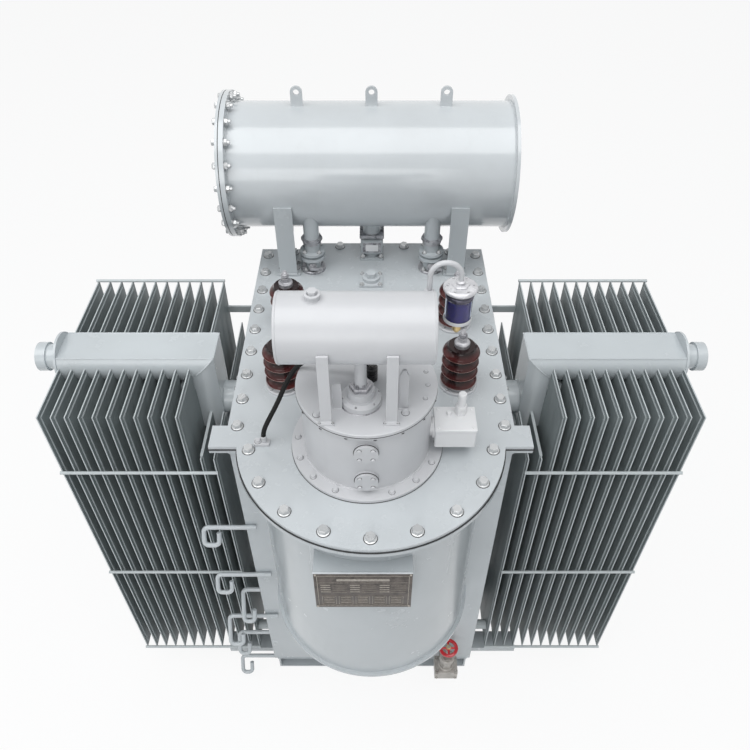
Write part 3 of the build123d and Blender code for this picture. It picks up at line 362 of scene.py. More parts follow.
def addPlug(mesh, radius, low, high, matrix, sides=32, chamfer=None):
    # A solid disc or nut; chamfer is how far its top edge goes in and down
    rings = [(0, low), (radius, low)]
    if chamfer:
        rings += [(radius, high - chamfer[1]), (radius - chamfer[0], high)]
    else:
        rings.append((radius, high))
    addRings(mesh, rings + [(0, high)], sides, matrix)


def addCollar(mesh, inner, outer, low, high, matrix, sides=32):
    addRings(mesh, [(inner, low), (outer, low), (outer, high), (inner, high)], sides, matrix, closed=True)


def offsets(radius, base, steps):
    # Rings given as steps out from one radius and up from one height
    return [(radius + out, base + rise) for out, rise in steps]


def threadRings(low, high, root, crest, pitch):
    rings = []
    level = low
    while level < high:
        rings += [(root, level), (crest, level + pitch / 2)]
        level += pitch
    return rings


# Rings of painted shade round every bolt's foot are gathered in this mesh
boltShadeRings = bmesh.new()


def addBolt(mesh, place, direction=(0, 0, 1), size=0.020, washer=True, stud=0.0):
    # Hex head with a chamfered crown, its washer and a dark ring of painted shade round its foot; size is the
    # thread diameter
    matrix = Matrix.Translation(Vector(place)) @ aim(direction, random.uniform(0, math.pi / 3))
    edge = size * (1.08 if washer else 0.98)
    addRings(boltShadeRings, [(0, 0), (edge, 0), (edge * 0.97, 0.0004), (0, 0.0004)], 16, matrix)
    base = size * 0.16 if washer else 0.0
    if washer:
        addPlug(mesh, size * 0.95, 0, base, matrix, 20, (size * 0.05, base * 0.2))
    height = size * 0.72
    flat = size * 0.84
    addPlug(mesh, flat, base, base + height, matrix, 6, (flat * 0.16, height * 0.24))
    if stud:
        addPlug(mesh, size / 2, base, base + height + stud, matrix, 12, (size * 0.08, 0.001))


def addBox(mesh, low, high, bevel=0.0):
    made = bmesh.ops.create_cube(mesh, size=1)["verts"]
    centre = (Vector(low) + Vector(high)) / 2
    size = Vector(high) - Vector(low)
    for vert in made:
        vert.co = centre + Vector(vert.co[i] * size[i] for i in range(3))
    if bevel:
        edges = dict.fromkeys(edge for vert in made for edge in vert.link_edges)
        bmesh.ops.bevel(mesh, geom=list(edges), offset=bevel, segments=2, profile=0.5, affect="EDGES")


def addBead(mesh, points, radius, sides=6, closed=False, wobble=0.22):
    # A weld run: a thin tube whose width ripples like laid metal
    rows = []
    count = len(points)
    for index, point in enumerate(points):
        ahead = points[(index + 1) % count] if closed or index + 1 < count else point
        behind = points[index - 1] if closed or index else point
        matrix = aim(ahead - behind).to_3x3()
        swell = radius * (1 + wobble * math.sin(index * 2.4) + random.uniform(-0.1, 0.1))
        spots = ringSpots(sides, swell)
        rows.append([mesh.verts.new(point + matrix @ Vector((x, y, 0))) for x, y in spots])
    for low, high in pairUp(rows, closed):
        shift = min(range(sides), key=lambda s: (low[0].co - high[s].co).length)
        for step in range(sides):
            a, b = high[(step + shift) % sides], high[(step + 1 + shift) % sides]
            mesh.faces.new((low[step], low[(step + 1) % sides], b, a))
    if not closed:
        mesh.faces.new(rows[0][::-1])
        mesh.faces.new(rows[-1])


def ringPoints(centre, radius, axis="Z", start=0, end=360, pitch=0.006):
    count = max(12, int(radius * math.radians(abs(end - start)) / pitch))
    closed = abs(end - start) >= 360
    points = []
    for step in range(count + (0 if closed else 1)):
        angle = math.radians(start + (end - start) * step / count)
        a, b = math.cos(angle), math.sin(angle)
        flat = {"Z": (a, b, 0), "X": (0, a, b), "Y": (a, 0, b)}[axis]
        points.append(Vector(centre) + radius * Vector(flat))
    return points


def linePoints(start, end, pitch=0.006):
    start, end = Vector(start), Vector(end)
    count = max(2, int((end - start).length / pitch))
    return [start.lerp(end, step / count) for step in range(count + 1)]


# Cover bolts, placed from the tank's front, and the gasket's edge under the cover
coverBolts = {
    "size": 0.020, "sideX": 0.437, "sideStart": 0.033, "sidePitch": 0.1206, "sideCount": 9,
    "arcRadius": 0.394, "arcPitch": 20, "arcCount": 9, "rear": 1.066, "rearX": (-0.137, 0, 0.137),
    "step": 1.020, "stepX": (-0.330, 0.330), "tail": 0.012, "frontTail": 0.036, "frontFrom": -0.3,
}
gasketEdge = {
    "radius": 0.0024, "out": 0.0014, "half": 0.469, "ear": 0.519, "earFront": -0.524, "earBack": -0.433,
    "sideBack": 0.579, "stepHalf": 0.235, "stepBack": 0.624, "disc": 0.432,
}
spots = [
    (side * coverBolts["sideX"], coverBolts["sideStart"] + step * coverBolts["sidePitch"])
    for side in (-1, 1) for step in range(coverBolts["sideCount"])
]
for step in range(coverBolts["arcCount"]):
    turn = math.radians(-90 + (step - (coverBolts["arcCount"] - 1) / 2) * coverBolts["arcPitch"])
    spots.append((coverBolts["arcRadius"] * math.cos(turn), coverBolts["arcRadius"] * math.sin(turn)))
for row in ("rear", "step"):
    spots += [(x, coverBolts[row]) for x in coverBolts[row + "X"]]
heads = bmesh.new()
nuts = bmesh.new()
for x, y in spots:
    addBolt(heads, (x, tankFront + y, coverTop), size=coverBolts["size"])
    tail = coverBolts["frontTail" if y < coverBolts["frontFrom"] else "tail"]
    addBolt(nuts, (x, tankFront + y, flangeLow.z), (0, 0, -1), coverBolts["size"] * 0.9, stud=tail)
half, ear, earBack, sideBack, stepHalf, stepBack, disc = (
    gasketEdge[key] + gasketEdge["out"]
    for key in ("half", "ear", "earBack", "sideBack", "stepHalf", "stepBack", "disc")
)
earFront = gasketEdge["earFront"] - gasketEdge["out"]
reach = math.sqrt(disc ** 2 - (earFront - tankFront) ** 2)
corners = [
    (-reach, earFront), (-ear, earFront), (-ear, earBack), (-half, earBack), (-half, sideBack),
    (-stepHalf, sideBack), (-stepHalf, stepBack),
]
corners += [(-x, y) for x, y in reversed(corners)]
gasketZ = (flangeHigh.z + coverLow.z) / 2
rubber = bmesh.new()
for start, end in zip(corners, corners[1:]):
    edge = linePoints((*start, gasketZ), (*end, gasketZ), 0.02)
    addBead(rubber, edge, gasketEdge["radius"], wobble=0.05)
sweep = math.degrees(math.atan2(earFront - tankFront, reach))
edge = ringPoints((0, tankFront, gasketZ), disc, "Z", 180 - sweep, 360 + sweep, 0.01)
addBead(rubber, edge, gasketEdge["radius"], wobble=0.05)
piece("cover_gasket_edge", rubber, gasketRubber)
piece("cover_bolt_heads", heads, boltPaint)
piece("cover_bolt_nuts", nuts, boltPaint)
print("cover bolts:", len(spots))


# Conservator fastenings
endRing = {"count": 20, "radius": 0.2625, "first": 9, "size": 0.0152, "flange": 0.018, "tail": 0.010}
heads = bmesh.new()
nuts = bmesh.new()
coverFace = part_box("conservator_cover")[0].x
flangeBack = shellLow.x + endRing["flange"]
for dy, dz in ringSpots(endRing["count"], endRing["radius"], endRing["first"]):
    y, z = shellAt.y + dy, shellAt.z + dz
    addBolt(heads, (coverFace, y, z), (-1, 0, 0), endRing["size"])
    addBolt(nuts, (flangeBack, y, z), (1, 0, 0), endRing["size"], stud=endRing["tail"])
piece("conservator_bolt_heads", heads, boltPaint)
piece("conservator_bolt_nuts", nuts, boltPaint)


# Turret fastenings
turretRing = {"count": 16, "radius": 0.221, "size": 0.0100, "first": -160, "bare": 3, "thick": 0.012}
lidRing = {"count": 16, "radius": 0.2045, "size": 0.0068, "first": -128, "under": 0.010, "stud": 0.003}
lidBolts = {
    "large": 0.0115, "largeAt": ((-0.151, -0.164), (0.099, -0.157)),
    "small": 0.0069, "smallAt": ((0.158, -0.100), (0.168, -0.045), (0.165, 0.010)),
}
ports = {"rises": (0.065, 0.191), "radius": 0.0275, "size": 0.0072, "face": 0.215, "gasket": 0.0368}
turretGaskets = {"base": 0.2412, "lid": 0.2106, "wide": 0.006, "port": 0.0068}
made = bmesh.new()
for step, (dx, dy) in enumerate(ringSpots(turretRing["count"], turretRing["radius"], turretRing["first"])):
    if step != turretRing["bare"]:
        spot = turretAt + Vector((dx, dy, turretRing["thick"]))
        addBolt(made, spot, size=turretRing["size"])
for dx, dy in ringSpots(lidRing["count"], lidRing["radius"], lidRing["first"]):
    spot = (turretAt.x + dx, turretAt.y + dy, lidBase - lidRing["under"])
    addBolt(made, spot, (0, 0, -1), lidRing["size"], washer=False, stud=lidRing["stud"])
for kind in ("large", "small"):
    for x, y in lidBolts[kind + "At"]:
        addBolt(made, (x, tankFront + y, lidTop), size=lidBolts[kind])
portX = turretAt.x
portY = turretAt.y - ports["face"]
for rise in ports["rises"]:
    for dx, dz in ringSpots(4, ports["radius"], 45):
        addBolt(made, (portX + dx, portY, coverTop + rise + dz), (0, -1, 0), ports["size"], washer=False)
piece("turret_bolts", made, turretPaint)
made = bmesh.new()
at = stand(turretAt.x, turretAt.y)
for radius, low, high in (
    (turretGaskets["base"], coverTop - 0.0002, coverTop + 0.0022),
    (turretGaskets["lid"], lidBase - 0.0010, lidBase + 0.0010),
):
    addCollar(made, radius - turretGaskets["wide"], radius, low, high, at, 96)
for rise in ports["rises"]:
    at = stand(portX, portY + 0.0100, coverTop + rise, (0, -1, 0))
    addCollar(made, ports["gasket"] - turretGaskets["port"], ports["gasket"], 0, 0.0016, at, 40)
piece("turret_gaskets", made, gasketRubber)
print("turret fastenings done")


# Small fastenings on pads, valves, brackets, headers and posts
padBolts = (  # node, height over the cover, half pitch, thread, direction, stud
    ("gas_relay", 0.012, 0.037, 0.012, (0, 0, 1), 0.006),
    ("gas_relay", 0.109, 0.036, 0.0105, (0, 0, -1), 0.0),
    ("thermometer_pocket", 0.010, 0.036, 0.009, (0, 0, 1), 0.0),
)
pipeBolts = {"radius": 0.041, "size": 0.009, "stud": 0.004, "upper": 0.094, "lower": 0.058, "foot": 0.011}
bracketBolts = {"half": 0.031, "rows": (0.045, 0.085), "rise": 0.010, "size": 0.013}
headerBolts = {
    "upper": 1.560, "lower": 0.230, "upperRing": (0.0730, 0.0095), "lowerRing": (0.06862, 0.008),
    "tankFace": 0.466, "radiatorFace": 0.494,
}
postBolts = {"half": 0.0185, "in": 0.006, "rise": 0.006, "size": 0.0045}
made = bmesh.new()
for name, rise, half, size, direction, stud in padBolts:
    at = middle(name)
    for dx in (-half, half):
        for dy in (-half, half):
            addBolt(made, (at.x + dx, at.y + dy, coverTop + rise), direction, size, stud=stud)
for side, sign in sideSigns.items():
    at = middle(f"oil_pipe_{side}")
    size, stud = pipeBolts["size"], pipeBolts["stud"]
    ring = [(at.x + dx, at.y + dy) for dx, dy in ringSpots(4, pipeBolts["radius"], 45)]
    for x, y in ring:
        addBolt(made, (x, y, coverTop + pipeBolts["upper"]), size=size, stud=stud)
        addBolt(made, (x, y, coverTop + pipeBolts["lower"]), (0, 0, -1), size)
    for x, y in ring:
        addBolt(made, (x, y, coverTop + pipeBolts["foot"]), size=size, stud=stud)
    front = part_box(f"conservator_bracket_{side}")[0].y
    x = middle(f"conservator_bracket_{side}").x
    for dx in (-bracketBolts["half"], bracketBolts["half"]):
        for dy in bracketBolts["rows"]:
            spot = (x + dx, front + dy, coverTop + bracketBolts["rise"])
            addBolt(made, spot, size=bracketBolts["size"])
    y = middle(f"upper_header_{side}").y
    for dy, dz in ringSpots(8, 1.0, 22.5):
        for level in ("upper", "lower"):
            radius, size = headerBolts[level + "Ring"]
            for face, facing in (("tankFace", -sign), ("radiatorFace", sign)):
                spot = (sign * headerBolts[face], y + radius * dy, headerBolts[level] + radius * dz)
                addBolt(made, spot, (facing, 0, 0), size, washer=False)
    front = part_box(f"small_post_{side}")[0].y
    x = middle(f"small_post_{side}").x
    for dx in (-postBolts["half"], postBolts["half"]):
        spot = (x + dx, front + postBolts["in"], lidTop + postBolts["rise"])
        addBolt(made, spot, size=postBolts["size"], washer=False)
piece("fitting_bolts", made, boltPaint)
print("fitting bolts done")


# Valve dress on the oil pipes, and the frame and sight glass of the gas relay
valves = {
    "pipe": 0.0310, "foot": 0.050, "collar": 0.0430, "collarRise": 0.140, "sleeve": 0.0370,
    "bossOut": 0.030, "bossRise": 0.034, "boss": 0.017, "pin": 0.008, "lever": 0.052,
}
relay = {
    "front": 0.055, "half": 0.038, "low": 0.046, "high": 0.092, "screws": (0.031, (0.052, 0.086)),
    "top": 0.050, "topLow": 0.1085, "topHigh": 0.1215, "plugs": 0.018,
    "windowHalf": 0.026, "windowLow": 0.054, "windowHigh": 0.084,
}
made = bmesh.new()
for side in sideSigns:
    x, y, z = *middle(f"oil_pipe_{side}").xy, coverTop
    at = stand(x, y, z)
    pipe, foot, rise = valves["pipe"], valves["foot"], valves["collarRise"]
    inside = pipe - 0.001
    addRings(made, [(pipe, 0), (foot, 0), (foot, 0.009), (foot - 0.002, 0.011), (pipe, 0.011)], 40, at, True)
    collar = [(inside, 0), (valves["collar"], 0), (valves["collar"], 0.011), (inside, 0.013)]
    addRings(made, offsets(0, rise, collar), 8, at, closed=True)
    sleeve = [(inside, -0.014), (valves["sleeve"], -0.012), (valves["sleeve"], -0.001), (inside, 0)]
    addRings(made, offsets(0, rise, sleeve), 32, at, closed=True)
    boss = stand(x, y - valves["bossOut"], z + valves["bossRise"], (0, -1, 0))
    addPlug(made, valves["boss"], 0, 0.016, boss, 6, (0.003, 0.002))
    addPlug(made, valves["pin"], 0.016, 0.026, boss, 16)
    start = x - valves["pin"]
    addBox(made, (start, y - 0.061, z + 0.028), (start + valves["lever"], y - 0.055, z + 0.040), 0.0015)
piece("oil_valve_dress", made, castSilver)
made = bmesh.new()
x, y, z = *middle("gas_relay").xy, coverTop
front, half, top = y - relay["front"], relay["half"], relay["top"]
low, high = z + relay["low"], z + relay["high"]
addBox(made, (x - half, front - 0.004, low), (x + half, front + 0.001, high), 0.0015)
addBox(made, (x - top, y - top, z + relay["topLow"]), (x + top, y + top, z + relay["topHigh"]), 0.0015)
wide, rises = relay["screws"]
for dx in (-wide, wide):
    for dz in rises:
        addBolt(made, (x + dx, front - 0.004, z + dz), (0, -1, 0), 0.0050, washer=False)
for dx in (-relay["plugs"], relay["plugs"]):
    plug = [(0, 0), (0.0085, 0), (0.0085, 0.005), (0.006, 0.007), (0.006, 0.012), (0, 0.013)]
    addRings(made, plug, 16, stand(x + dx, y - 0.020, z + relay["topHigh"]))
piece("relay_frame", made, castSilver)
made = bmesh.new()
half, low, high = relay["windowHalf"], z + relay["windowLow"], z + relay["windowHigh"]
addBox(made, (x - half, front - 0.0052, low), (x + half, front - 0.003, high), 0.0008)
piece("relay_window", made, boxPaint)
print("oil valves and relay dressed")


# Weld runs
welds = {"broad": 0.0042, "edge": 0.0030, "thin": 0.0026, "fine": 0.0020, "finest": 0.0018}
tankSeams = {
    "drum": 0.375, "plateAhead": 0.012, "half": 0.408, "foot": 0.130, "plateHalf": 0.453, "plateFoot": 0.120,
    "stays": ((-0.173, -0.333), (0.127, -0.353)), "stayLow": 1.379, "stayHigh": 1.583,
}
shellSeams = {
    "left": 0.2405, "right": 0.2400, "lugs": (-0.279, 0, 0.279), "lugHalf": 0.0225, "lugSides": 0.005,
    "bracketX": 0.339, "bracketHalf": 0.035, "bracketTop": 1.756,
}
turretSeams = {
    "barrel": 0.1985, "underLid": 0.1983, "port": 0.0245, "portFace": 0.1975, "postHalf": 0.0155,
    "pads": (-0.093, 0.093), "padHalf": 0.013, "padFront": 0.109, "smallShell": 0.0968,
}
headerSeams = {
    "axis": 0.0253, "flat": 0.0760, "endX": 1.095, "end": 0.0445, "dropX": 0.544, "arm": 0.084,
    "from": -217, "turn": 254, "points": 63, "flatHalf": 0.067, "edgeHalf": 0.0675, "edgeX": (0.548, 1.086),
    "stub": 0.0605, "stubX": (0.544, 0.4085),
}


def weldLine(mesh, start, end, size="broad", pitch=0.006, wobble=0.22):
    addBead(mesh, linePoints(start, end, pitch), welds[size], wobble=wobble)


def weldAcross(mesh, x, y, z, half, size="thin", pitch=0.004):
    weldLine(mesh, (x - half, y, z), (x + half, y, z), size, pitch)


def weldRing(mesh, centre, radius, axis="Z", size="thin", pitch=0.006, wobble=0.22):
    addBead(mesh, ringPoints(centre, radius, axis, pitch=pitch), welds[size], closed=True, wobble=wobble)


made = bmesh.new()
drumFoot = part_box("drum")[0].z
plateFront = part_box("front_plate")[0].y
under = flangeLow.z
drumSide = math.sqrt(tankSeams["drum"] ** 2 - tankSeams["plateAhead"] ** 2)
for side in (-1, 1):
    weldLine(made, (side * drumSide, plateFront, drumFoot + 0.014), (side * drumSide, plateFront, under))
    x = side * tankSeams["half"]
    weldLine(made, (x, tankFront + 0.0005, tankSeams["foot"]), (x, tankFront + 0.0005, under))
    weldLine(made, (x, tankFront, under), (x, tankHigh.y, under))
for z, start in ((under, 181), (drumFoot + 0.010, 182)):
    arc = ringPoints((0, tankFront, z), tankSeams["drum"] + 0.0005, "Z", start, 540 - start)
    addBead(made, arc, welds["broad"])
weldAcross(made, 0, tankHigh.y, under, tankSeams["half"], "broad", 0.006)
weldAcross(made, 0, plateFront, tankSeams["plateFoot"], tankSeams["plateHalf"], "broad", 0.006)
low, high = tankSeams["stayLow"], tankSeams["stayHigh"]
for x, y in tankSeams["stays"]:
    weldLine(made, (x, tankFront + y, low), (x, tankFront + y, high), "thin")
piece("tank_welds", made, tankPaint)

made = bmesh.new()
weldRing(made, (flangeBack, shellAt.y, shellAt.z), shellSeams["left"], "X", "broad")
weldRing(made, (shellHigh.x, shellAt.y, shellAt.z), shellSeams["right"], "X", "broad")
for x in shellSeams["lugs"]:
    for dy in (-shellSeams["lugSides"], shellSeams["lugSides"]):
        weldAcross(made, x, shellAt.y + dy, shellAt.z + 0.240, shellSeams["lugHalf"])
for side in (-1, 1):
    middleX, top, y = side * shellSeams["bracketX"], shellSeams["bracketTop"], shellAt.y - 0.236
    for dx in (-shellSeams["bracketHalf"], shellSeams["bracketHalf"]):
        weldLine(made, (middleX + dx, y, top - 0.006), (middleX + dx, y, top), "thin", 0.003)
    weldAcross(made, middleX, shellAt.y - 0.2425, top - 0.009, shellSeams["bracketHalf"])
piece("conservator_welds", made, conservatorPaint)

made = bmesh.new()
weldRing(made, (turretAt.x, turretAt.y, coverTop + turretRing["thick"]), turretSeams["barrel"], size="broad")
weldRing(made, (turretAt.x, turretAt.y, lidBase - 0.0105), turretSeams["underLid"])
for rise in ports["rises"]:
    portFoot = (portX, turretAt.y - turretSeams["portFace"], coverTop + rise)
    weldRing(made, portFoot, turretSeams["port"], "Y", pitch=0.004)
for side in sideSigns:
    low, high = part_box(f"small_post_{side}")
    x = (low.x + high.x) / 2
    weldAcross(made, x, high.y - 0.001, high.z - 0.002, turretSeams["postHalf"])
    weldAcross(made, x, low.y + 0.009, lidTop + 0.007, turretSeams["postHalf"])
for x in turretSeams["pads"]:
    weldAcross(made, x, turretAt.y - turretSeams["padFront"], lidTop + 0.001, turretSeams["padHalf"])
smallLow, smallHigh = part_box("small_shell")
smallAt = middle("small_shell")
for x in (smallLow.x, smallHigh.x):
    weldRing(made, (x, smallAt.y, smallAt.z), turretSeams["smallShell"], "X", "fine", 0.004, 0.15)
piece("turret_welds", made, turretPaint)

made = bmesh.new()
for side, sign in sideSigns.items():
    y = middle(f"upper_header_{side}").y
    axis, flat = coverTop + headerSeams["axis"], coverTop + headerSeams["flat"]
    weldRing(made, (sign * headerSeams["endX"], y, axis), headerSeams["end"], "X", pitch=0.004)
    mitre = []  # the seam between the arm and its drop
    for step in range(headerSeams["points"] + 1):
        turn = math.radians(headerSeams["from"] + headerSeams["turn"] * step / headerSeams["points"])
        dy, dz = headerSeams["arm"] * math.cos(turn), headerSeams["arm"] * math.sin(turn)
        mitre.append(Vector((sign * (headerSeams["dropX"] + flat - axis - dz), y + dy, axis + dz)))
    addBead(made, mitre, welds["thin"])
    x = sign * headerSeams["dropX"]
    half = headerSeams["flatHalf"]
    weldLine(made, (x, y - half, flat), (x, y + half, flat), "thin")
    start, end = (sign * x for x in headerSeams["edgeX"])
    for dy in (-headerSeams["edgeHalf"], headerSeams["edgeHalf"]):
        z = flat - 0.0008
        weldLine(made, (start, y + dy, z), (end, y + dy, z), "edge", 0.012, 0.06)
    for x in headerSeams["stubX"]:
        weldRing(made, (sign * x, y, headerBolts["upper"]), headerSeams["stub"], "X", pitch=0.005)
piece("header_welds", made, headerPaint)
print("weld runs done")


# Pressed flutes on the radiator panels, placed from the tank's front and kept clear of the headers
flutes = {
    "panels": 13, "firstX": 0.542, "panelPitch": 0.045, "face": 0.005, "count": 9, "width": 0.056,
    "pitch": 0.0755, "middle": 0.400, "proud": 0.0016, "inset": 0.010, "foot": 0.200, "top": 1.735,
    "header": 0.343, "headerHalf": 0.084, "overLower": 0.320, "underUpper": 1.640, "underDrop": 1.430,
    "innerTop": 1.524, "innerFrom": 0.260,
}


def fluteSpan(panel, along):
    # Foot and top of one flute: innermost panels are lower, and flutes stop short of the headers
    beside = abs(along - flutes["header"]) < flutes["headerHalf"] + flutes["width"] / 2
    top = flutes["top"]
    if panel == 0 or (panel == 1 and along < flutes["innerFrom"]):
        top = flutes["innerTop"]
    if beside:
        top = min(top, flutes["underDrop"] if panel < 2 else flutes["underUpper"])
    return (flutes["overLower"] if beside else flutes["foot"]), top


def addFlute(mesh, x, face, y, foot, top):
    rows = []
    for out, inset in ((0, 0), (flutes["proud"], flutes["inset"])):
        half = flutes["width"] / 2 - inset
        low, high = foot + inset, top - inset
        corners = ((y - half, low), (y + half, low), (y + half, high), (y - half, high))
        rows.append([mesh.verts.new((x + face * (flutes["face"] + out), *corner)) for corner in corners])
    rim, crown = rows
    faces = [crown, rim[::-1]] + [[rim[i], rim[(i + 1) % 4], crown[(i + 1) % 4], crown[i]] for i in range(4)]
    for corners in faces:
        mesh.faces.new(corners if face > 0 else corners[::-1])


for side, sign in sideSigns.items():
    made = bmesh.new()
    for panel in range(flutes["panels"]):
        x = sign * (flutes["firstX"] + flutes["panelPitch"] * panel)
        for number in range(flutes["count"]):
            along = flutes["middle"] + (number - (flutes["count"] - 1) / 2) * flutes["pitch"]
            for face in (-1, 1):
                addFlute(made, x, face, tankFront + along, *fluteSpan(panel, along))
    piece(f"panel_flutes_{side}", made, finPaint, smooth=60)
print("radiator flutes done")


# Bushings
bushing = {
    "base": 0.066, "foot": 0.016, "height": 0.162, "core": 0.044, "shed": 0.062, "sheds": 4, "neck": 0.052,
    "cap": 0.026, "studHeight": 0.040, "thread": (0.0071, 0.0079, 0.0015), "bolts": 0.0575, "bolt": 0.0062,
}
rimHighlights = bmesh.new()


def shedProfile():
    # Each shed is flat beneath, round at the rim and slopes back up to the core
    pitch = bushing["height"] / bushing["sheds"]
    core, shed, top = bushing["core"], bushing["shed"], bushing["height"]
    rings = [(0, 0), (core, 0)]
    for number in range(bushing["sheds"]):
        rings += [(radius, (number + share) * pitch) for radius, share in (
            (core, 0.08), (core + 0.003, 0.20), (core + 0.009, 0.25), (shed - 0.004, 0.24),
            (shed - 0.001, 0.28), (shed, 0.36), (shed - 0.0008, 0.46), (shed - 0.004, 0.58),
            (shed - 0.010, 0.70), (core + 0.003, 0.84), (core + 0.0005, 0.93), (core, 1.0),
        )]
    return rings + [(core - 0.004, top), (bushing["cap"] + 0.004, top + 0.0005), (0, top + 0.0005)]


def dressBushing(name):
    x, y = middle(name).xy
    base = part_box(name)[0].z
    start = base + bushing["foot"]
    at = (x, y, start)
    glazed = turned(name + "_porcelain", shedProfile(), 56, stand(*at), brownGlaze, smooth=50, origin=at)
    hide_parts(name)
    # A thin pale ring on each shed's rim, as a painted highlight
    for number in range(bushing["sheds"]):
        rise = start + (number + 0.315) * bushing["height"] / bushing["sheds"]
        lip = ((0, -0.0012), (0.0014, -0.0008), (0.0018, 0), (0.0014, 0.0008), (0, 0.0012))
        addRings(rimHighlights, offsets(bushing["shed"] - 0.0012, rise, lip), 56, stand(x, y), closed=True)
    metal = bmesh.new()
    radius, foot, neck = bushing["base"], bushing["foot"], bushing["neck"]
    clamp = [(0, 0), (radius, 0), (radius, 0.008), (radius - 0.003, 0.011), (neck, 0.011),
             (neck, foot + 0.002), (neck - 0.007, foot + 0.004), (0, foot + 0.004)]
    addRings(metal, clamp, 48, stand(x, y, base))
    for dx, dy in ringSpots(4, bushing["bolts"], 45):
        addBolt(metal, (x + dx, y + dy, base + 0.011), size=bushing["bolt"], washer=False)
    piece(name + "_clamp", metal, turretPaint)
    terminal = bmesh.new()
    cap, top = bushing["cap"], start + bushing["height"]
    capRings = [(0, 0), (cap, 0), (cap, 0.014), (cap - 0.003, 0.018), (cap - 0.008, 0.019), (0.014, 0.022)]
    addRings(terminal, capRings + [(0, 0.022)], 32, stand(x, y, top))
    lift = stand(x, y, top + 0.022)
    addPlug(terminal, 0.0165, 0, 0.0025, lift, 28)
    addPlug(terminal, 0.0145, 0.0025, 0.0125, lift, 6, (0.002, 0.0015))
    root, crest, pitch = bushing["thread"]
    tip = bushing["studHeight"]
    stud = threadRings(0.0125, tip - 0.003, root, crest, pitch)
    addRings(terminal, [(0, 0.0125), *stud, (0.0060, tip), (0, tip)], 18, lift)
    addPlug(terminal, 0.0150, 0.0190, 0.0210, lift, 28)
    addPlug(terminal, 0.0135, 0.0210, 0.0302, lift, 6, (0.0017, 0.0012))
    piece(name + "_terminal", terminal, castSilver, smooth=35)


for row in ("front", "rear"):
    for side in sideSigns:
        dressBushing(f"bushing_{row}_{side}")
# The pale rim rings are painted highlights
piece("porcelain_rim_highlights", rimHighlights, rimHighlightGlaze)
print("bushings done")


# Breather
breather = {
    "glass": 0.0362, "wall": 0.0022, "glassLow": 2.250, "glassHigh": 2.317, "bandHigh": 2.341,
    "rim": 0.0392, "cap": 0.0460, "foot": 0.0125, "footLow": 2.196, "screws": 0.0335, "screw": 0.0036,
}
x, y = middle("breather_cap").xy
place = stand(x, y)
outer, low, high, band = (breather[key] for key in ("glass", "glassLow", "glassHigh", "bandHigh"))
inner = outer - breather["wall"]
tube = [(outer, low), (outer, high), (inner, high), (inner, low)]
glass = turned("breather_glass_tube", tube, 64, place, clearGlass, closed=True)
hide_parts("breather_glass")
made = bmesh.new()
addPlug(made, inner - 0.0005, low + 0.0005, high - 0.001, place, 56)
piece("breather_gel", made, gelBeads)
neck = offsets(outer, high, (
    (0.0012, 0), (0.0016, 0.002), (0, 0.003), (0, 0.006), (0.0026, 0.008), (0.0030, 0.010), (0.0026, 0.012),
    (0.0010, 0.0135),
))
neck += [(outer + 0.0020, band - 0.006), (outer + 0.0060, band)]
turned("breather_neck_band", [(0, high), *neck, (0, band)], 64, place, smokedBand)
made = bmesh.new()
cap, top = breather["cap"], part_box("breather_cap")[1].z
dome = offsets(cap, band, (
    (-0.0045, 0), (-0.0010, 0.0012), (0, 0.0035), (0, 0.0065), (-0.0012, 0.0090), (-0.0060, 0.0120),
))
dome += [(cap - 0.0140, top - 0.0008), (0.020, top)]
addRings(made, [(0, band), *dome, (0, top)], 64, place)
addPlug(made, 0.0245, top - 0.003, top + 0.005, place, 6, (0.003, 0.002))
addPlug(made, 0.0130, top + 0.005, top + 0.015, place, 24, (0.0045, 0.003))
for dx, dy in ringSpots(6, breather["screws"]):
    addBolt(made, (x + dx, y + dy, top - 0.0012), size=breather["screw"], washer=False)
crown = piece("breather_crown", made, polishedCap)
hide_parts("breather_cap")
lip = offsets(breather["rim"], low, (
    (-0.010, -0.011), (-0.003, -0.0095), (0, -0.007), (0, -0.003), (-0.001, 0), (-0.002, 0.002),
))
lip += [(outer + 0.0003, low + 0.0025), (outer + 0.0003, low)]
turned("breather_lower_rim", [(0, low - 0.011), *lip, (0, low)], 64, place, turretPaint)
base = breather["footLow"]
cup = offsets(breather["foot"], base, (
    (-0.006, 0), (-0.004, 0.004), (-0.001, 0.007), (0, 0.012), (-0.001, 0.022), (-0.004, 0.030),
    (0.003, 0.035), (0.003, 0.0435),
))
foot = turned("breather_foot_cup", [(0, base), *cup, (0, base + 0.0435)], 32, place, castBrass)
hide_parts("breather_base")
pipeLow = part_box("breather_pipe")[0]
made = bmesh.new()
addPlug(made, 0.014, 0, 0.016, stand(pipeLow.x + 0.007, y, pipeLow.z - 0.004), 6, (0.002, 0.002))
piece("breather_pipe_union", made, turretPaint)
print("breather done")


# Feed pipe union, with the screws of its foot
feedPipe = {"union": 0.0330, "neck": 0.0190, "low": 0.0540, "screws": 0.0510, "screw": 0.0042, "foot": 0.0585}
x, y = middle("turret_feed").xy
made = bmesh.new()
union, neck, low = (feedPipe[key] for key in ("union", "neck", "low"))
nut = [(0, low), (union, low), (union, low + 0.012), (union - 0.003, low + 0.015), (neck, low + 0.015),
       (neck, low + 0.022), (0, low + 0.022)]
addRings(made, nut, 6, stand(x, y, lidTop))
for dx, dy in ringSpots(6, feedPipe["screws"], 15):
    addBolt(made, (x + dx, y + dy, lidTop + 0.0225), size=feedPipe["screw"], washer=False)
weldRing(made, (x, y, lidTop + 0.0005), feedPipe["foot"], pitch=0.005)
piece("feed_union_nut", made, castSilver)


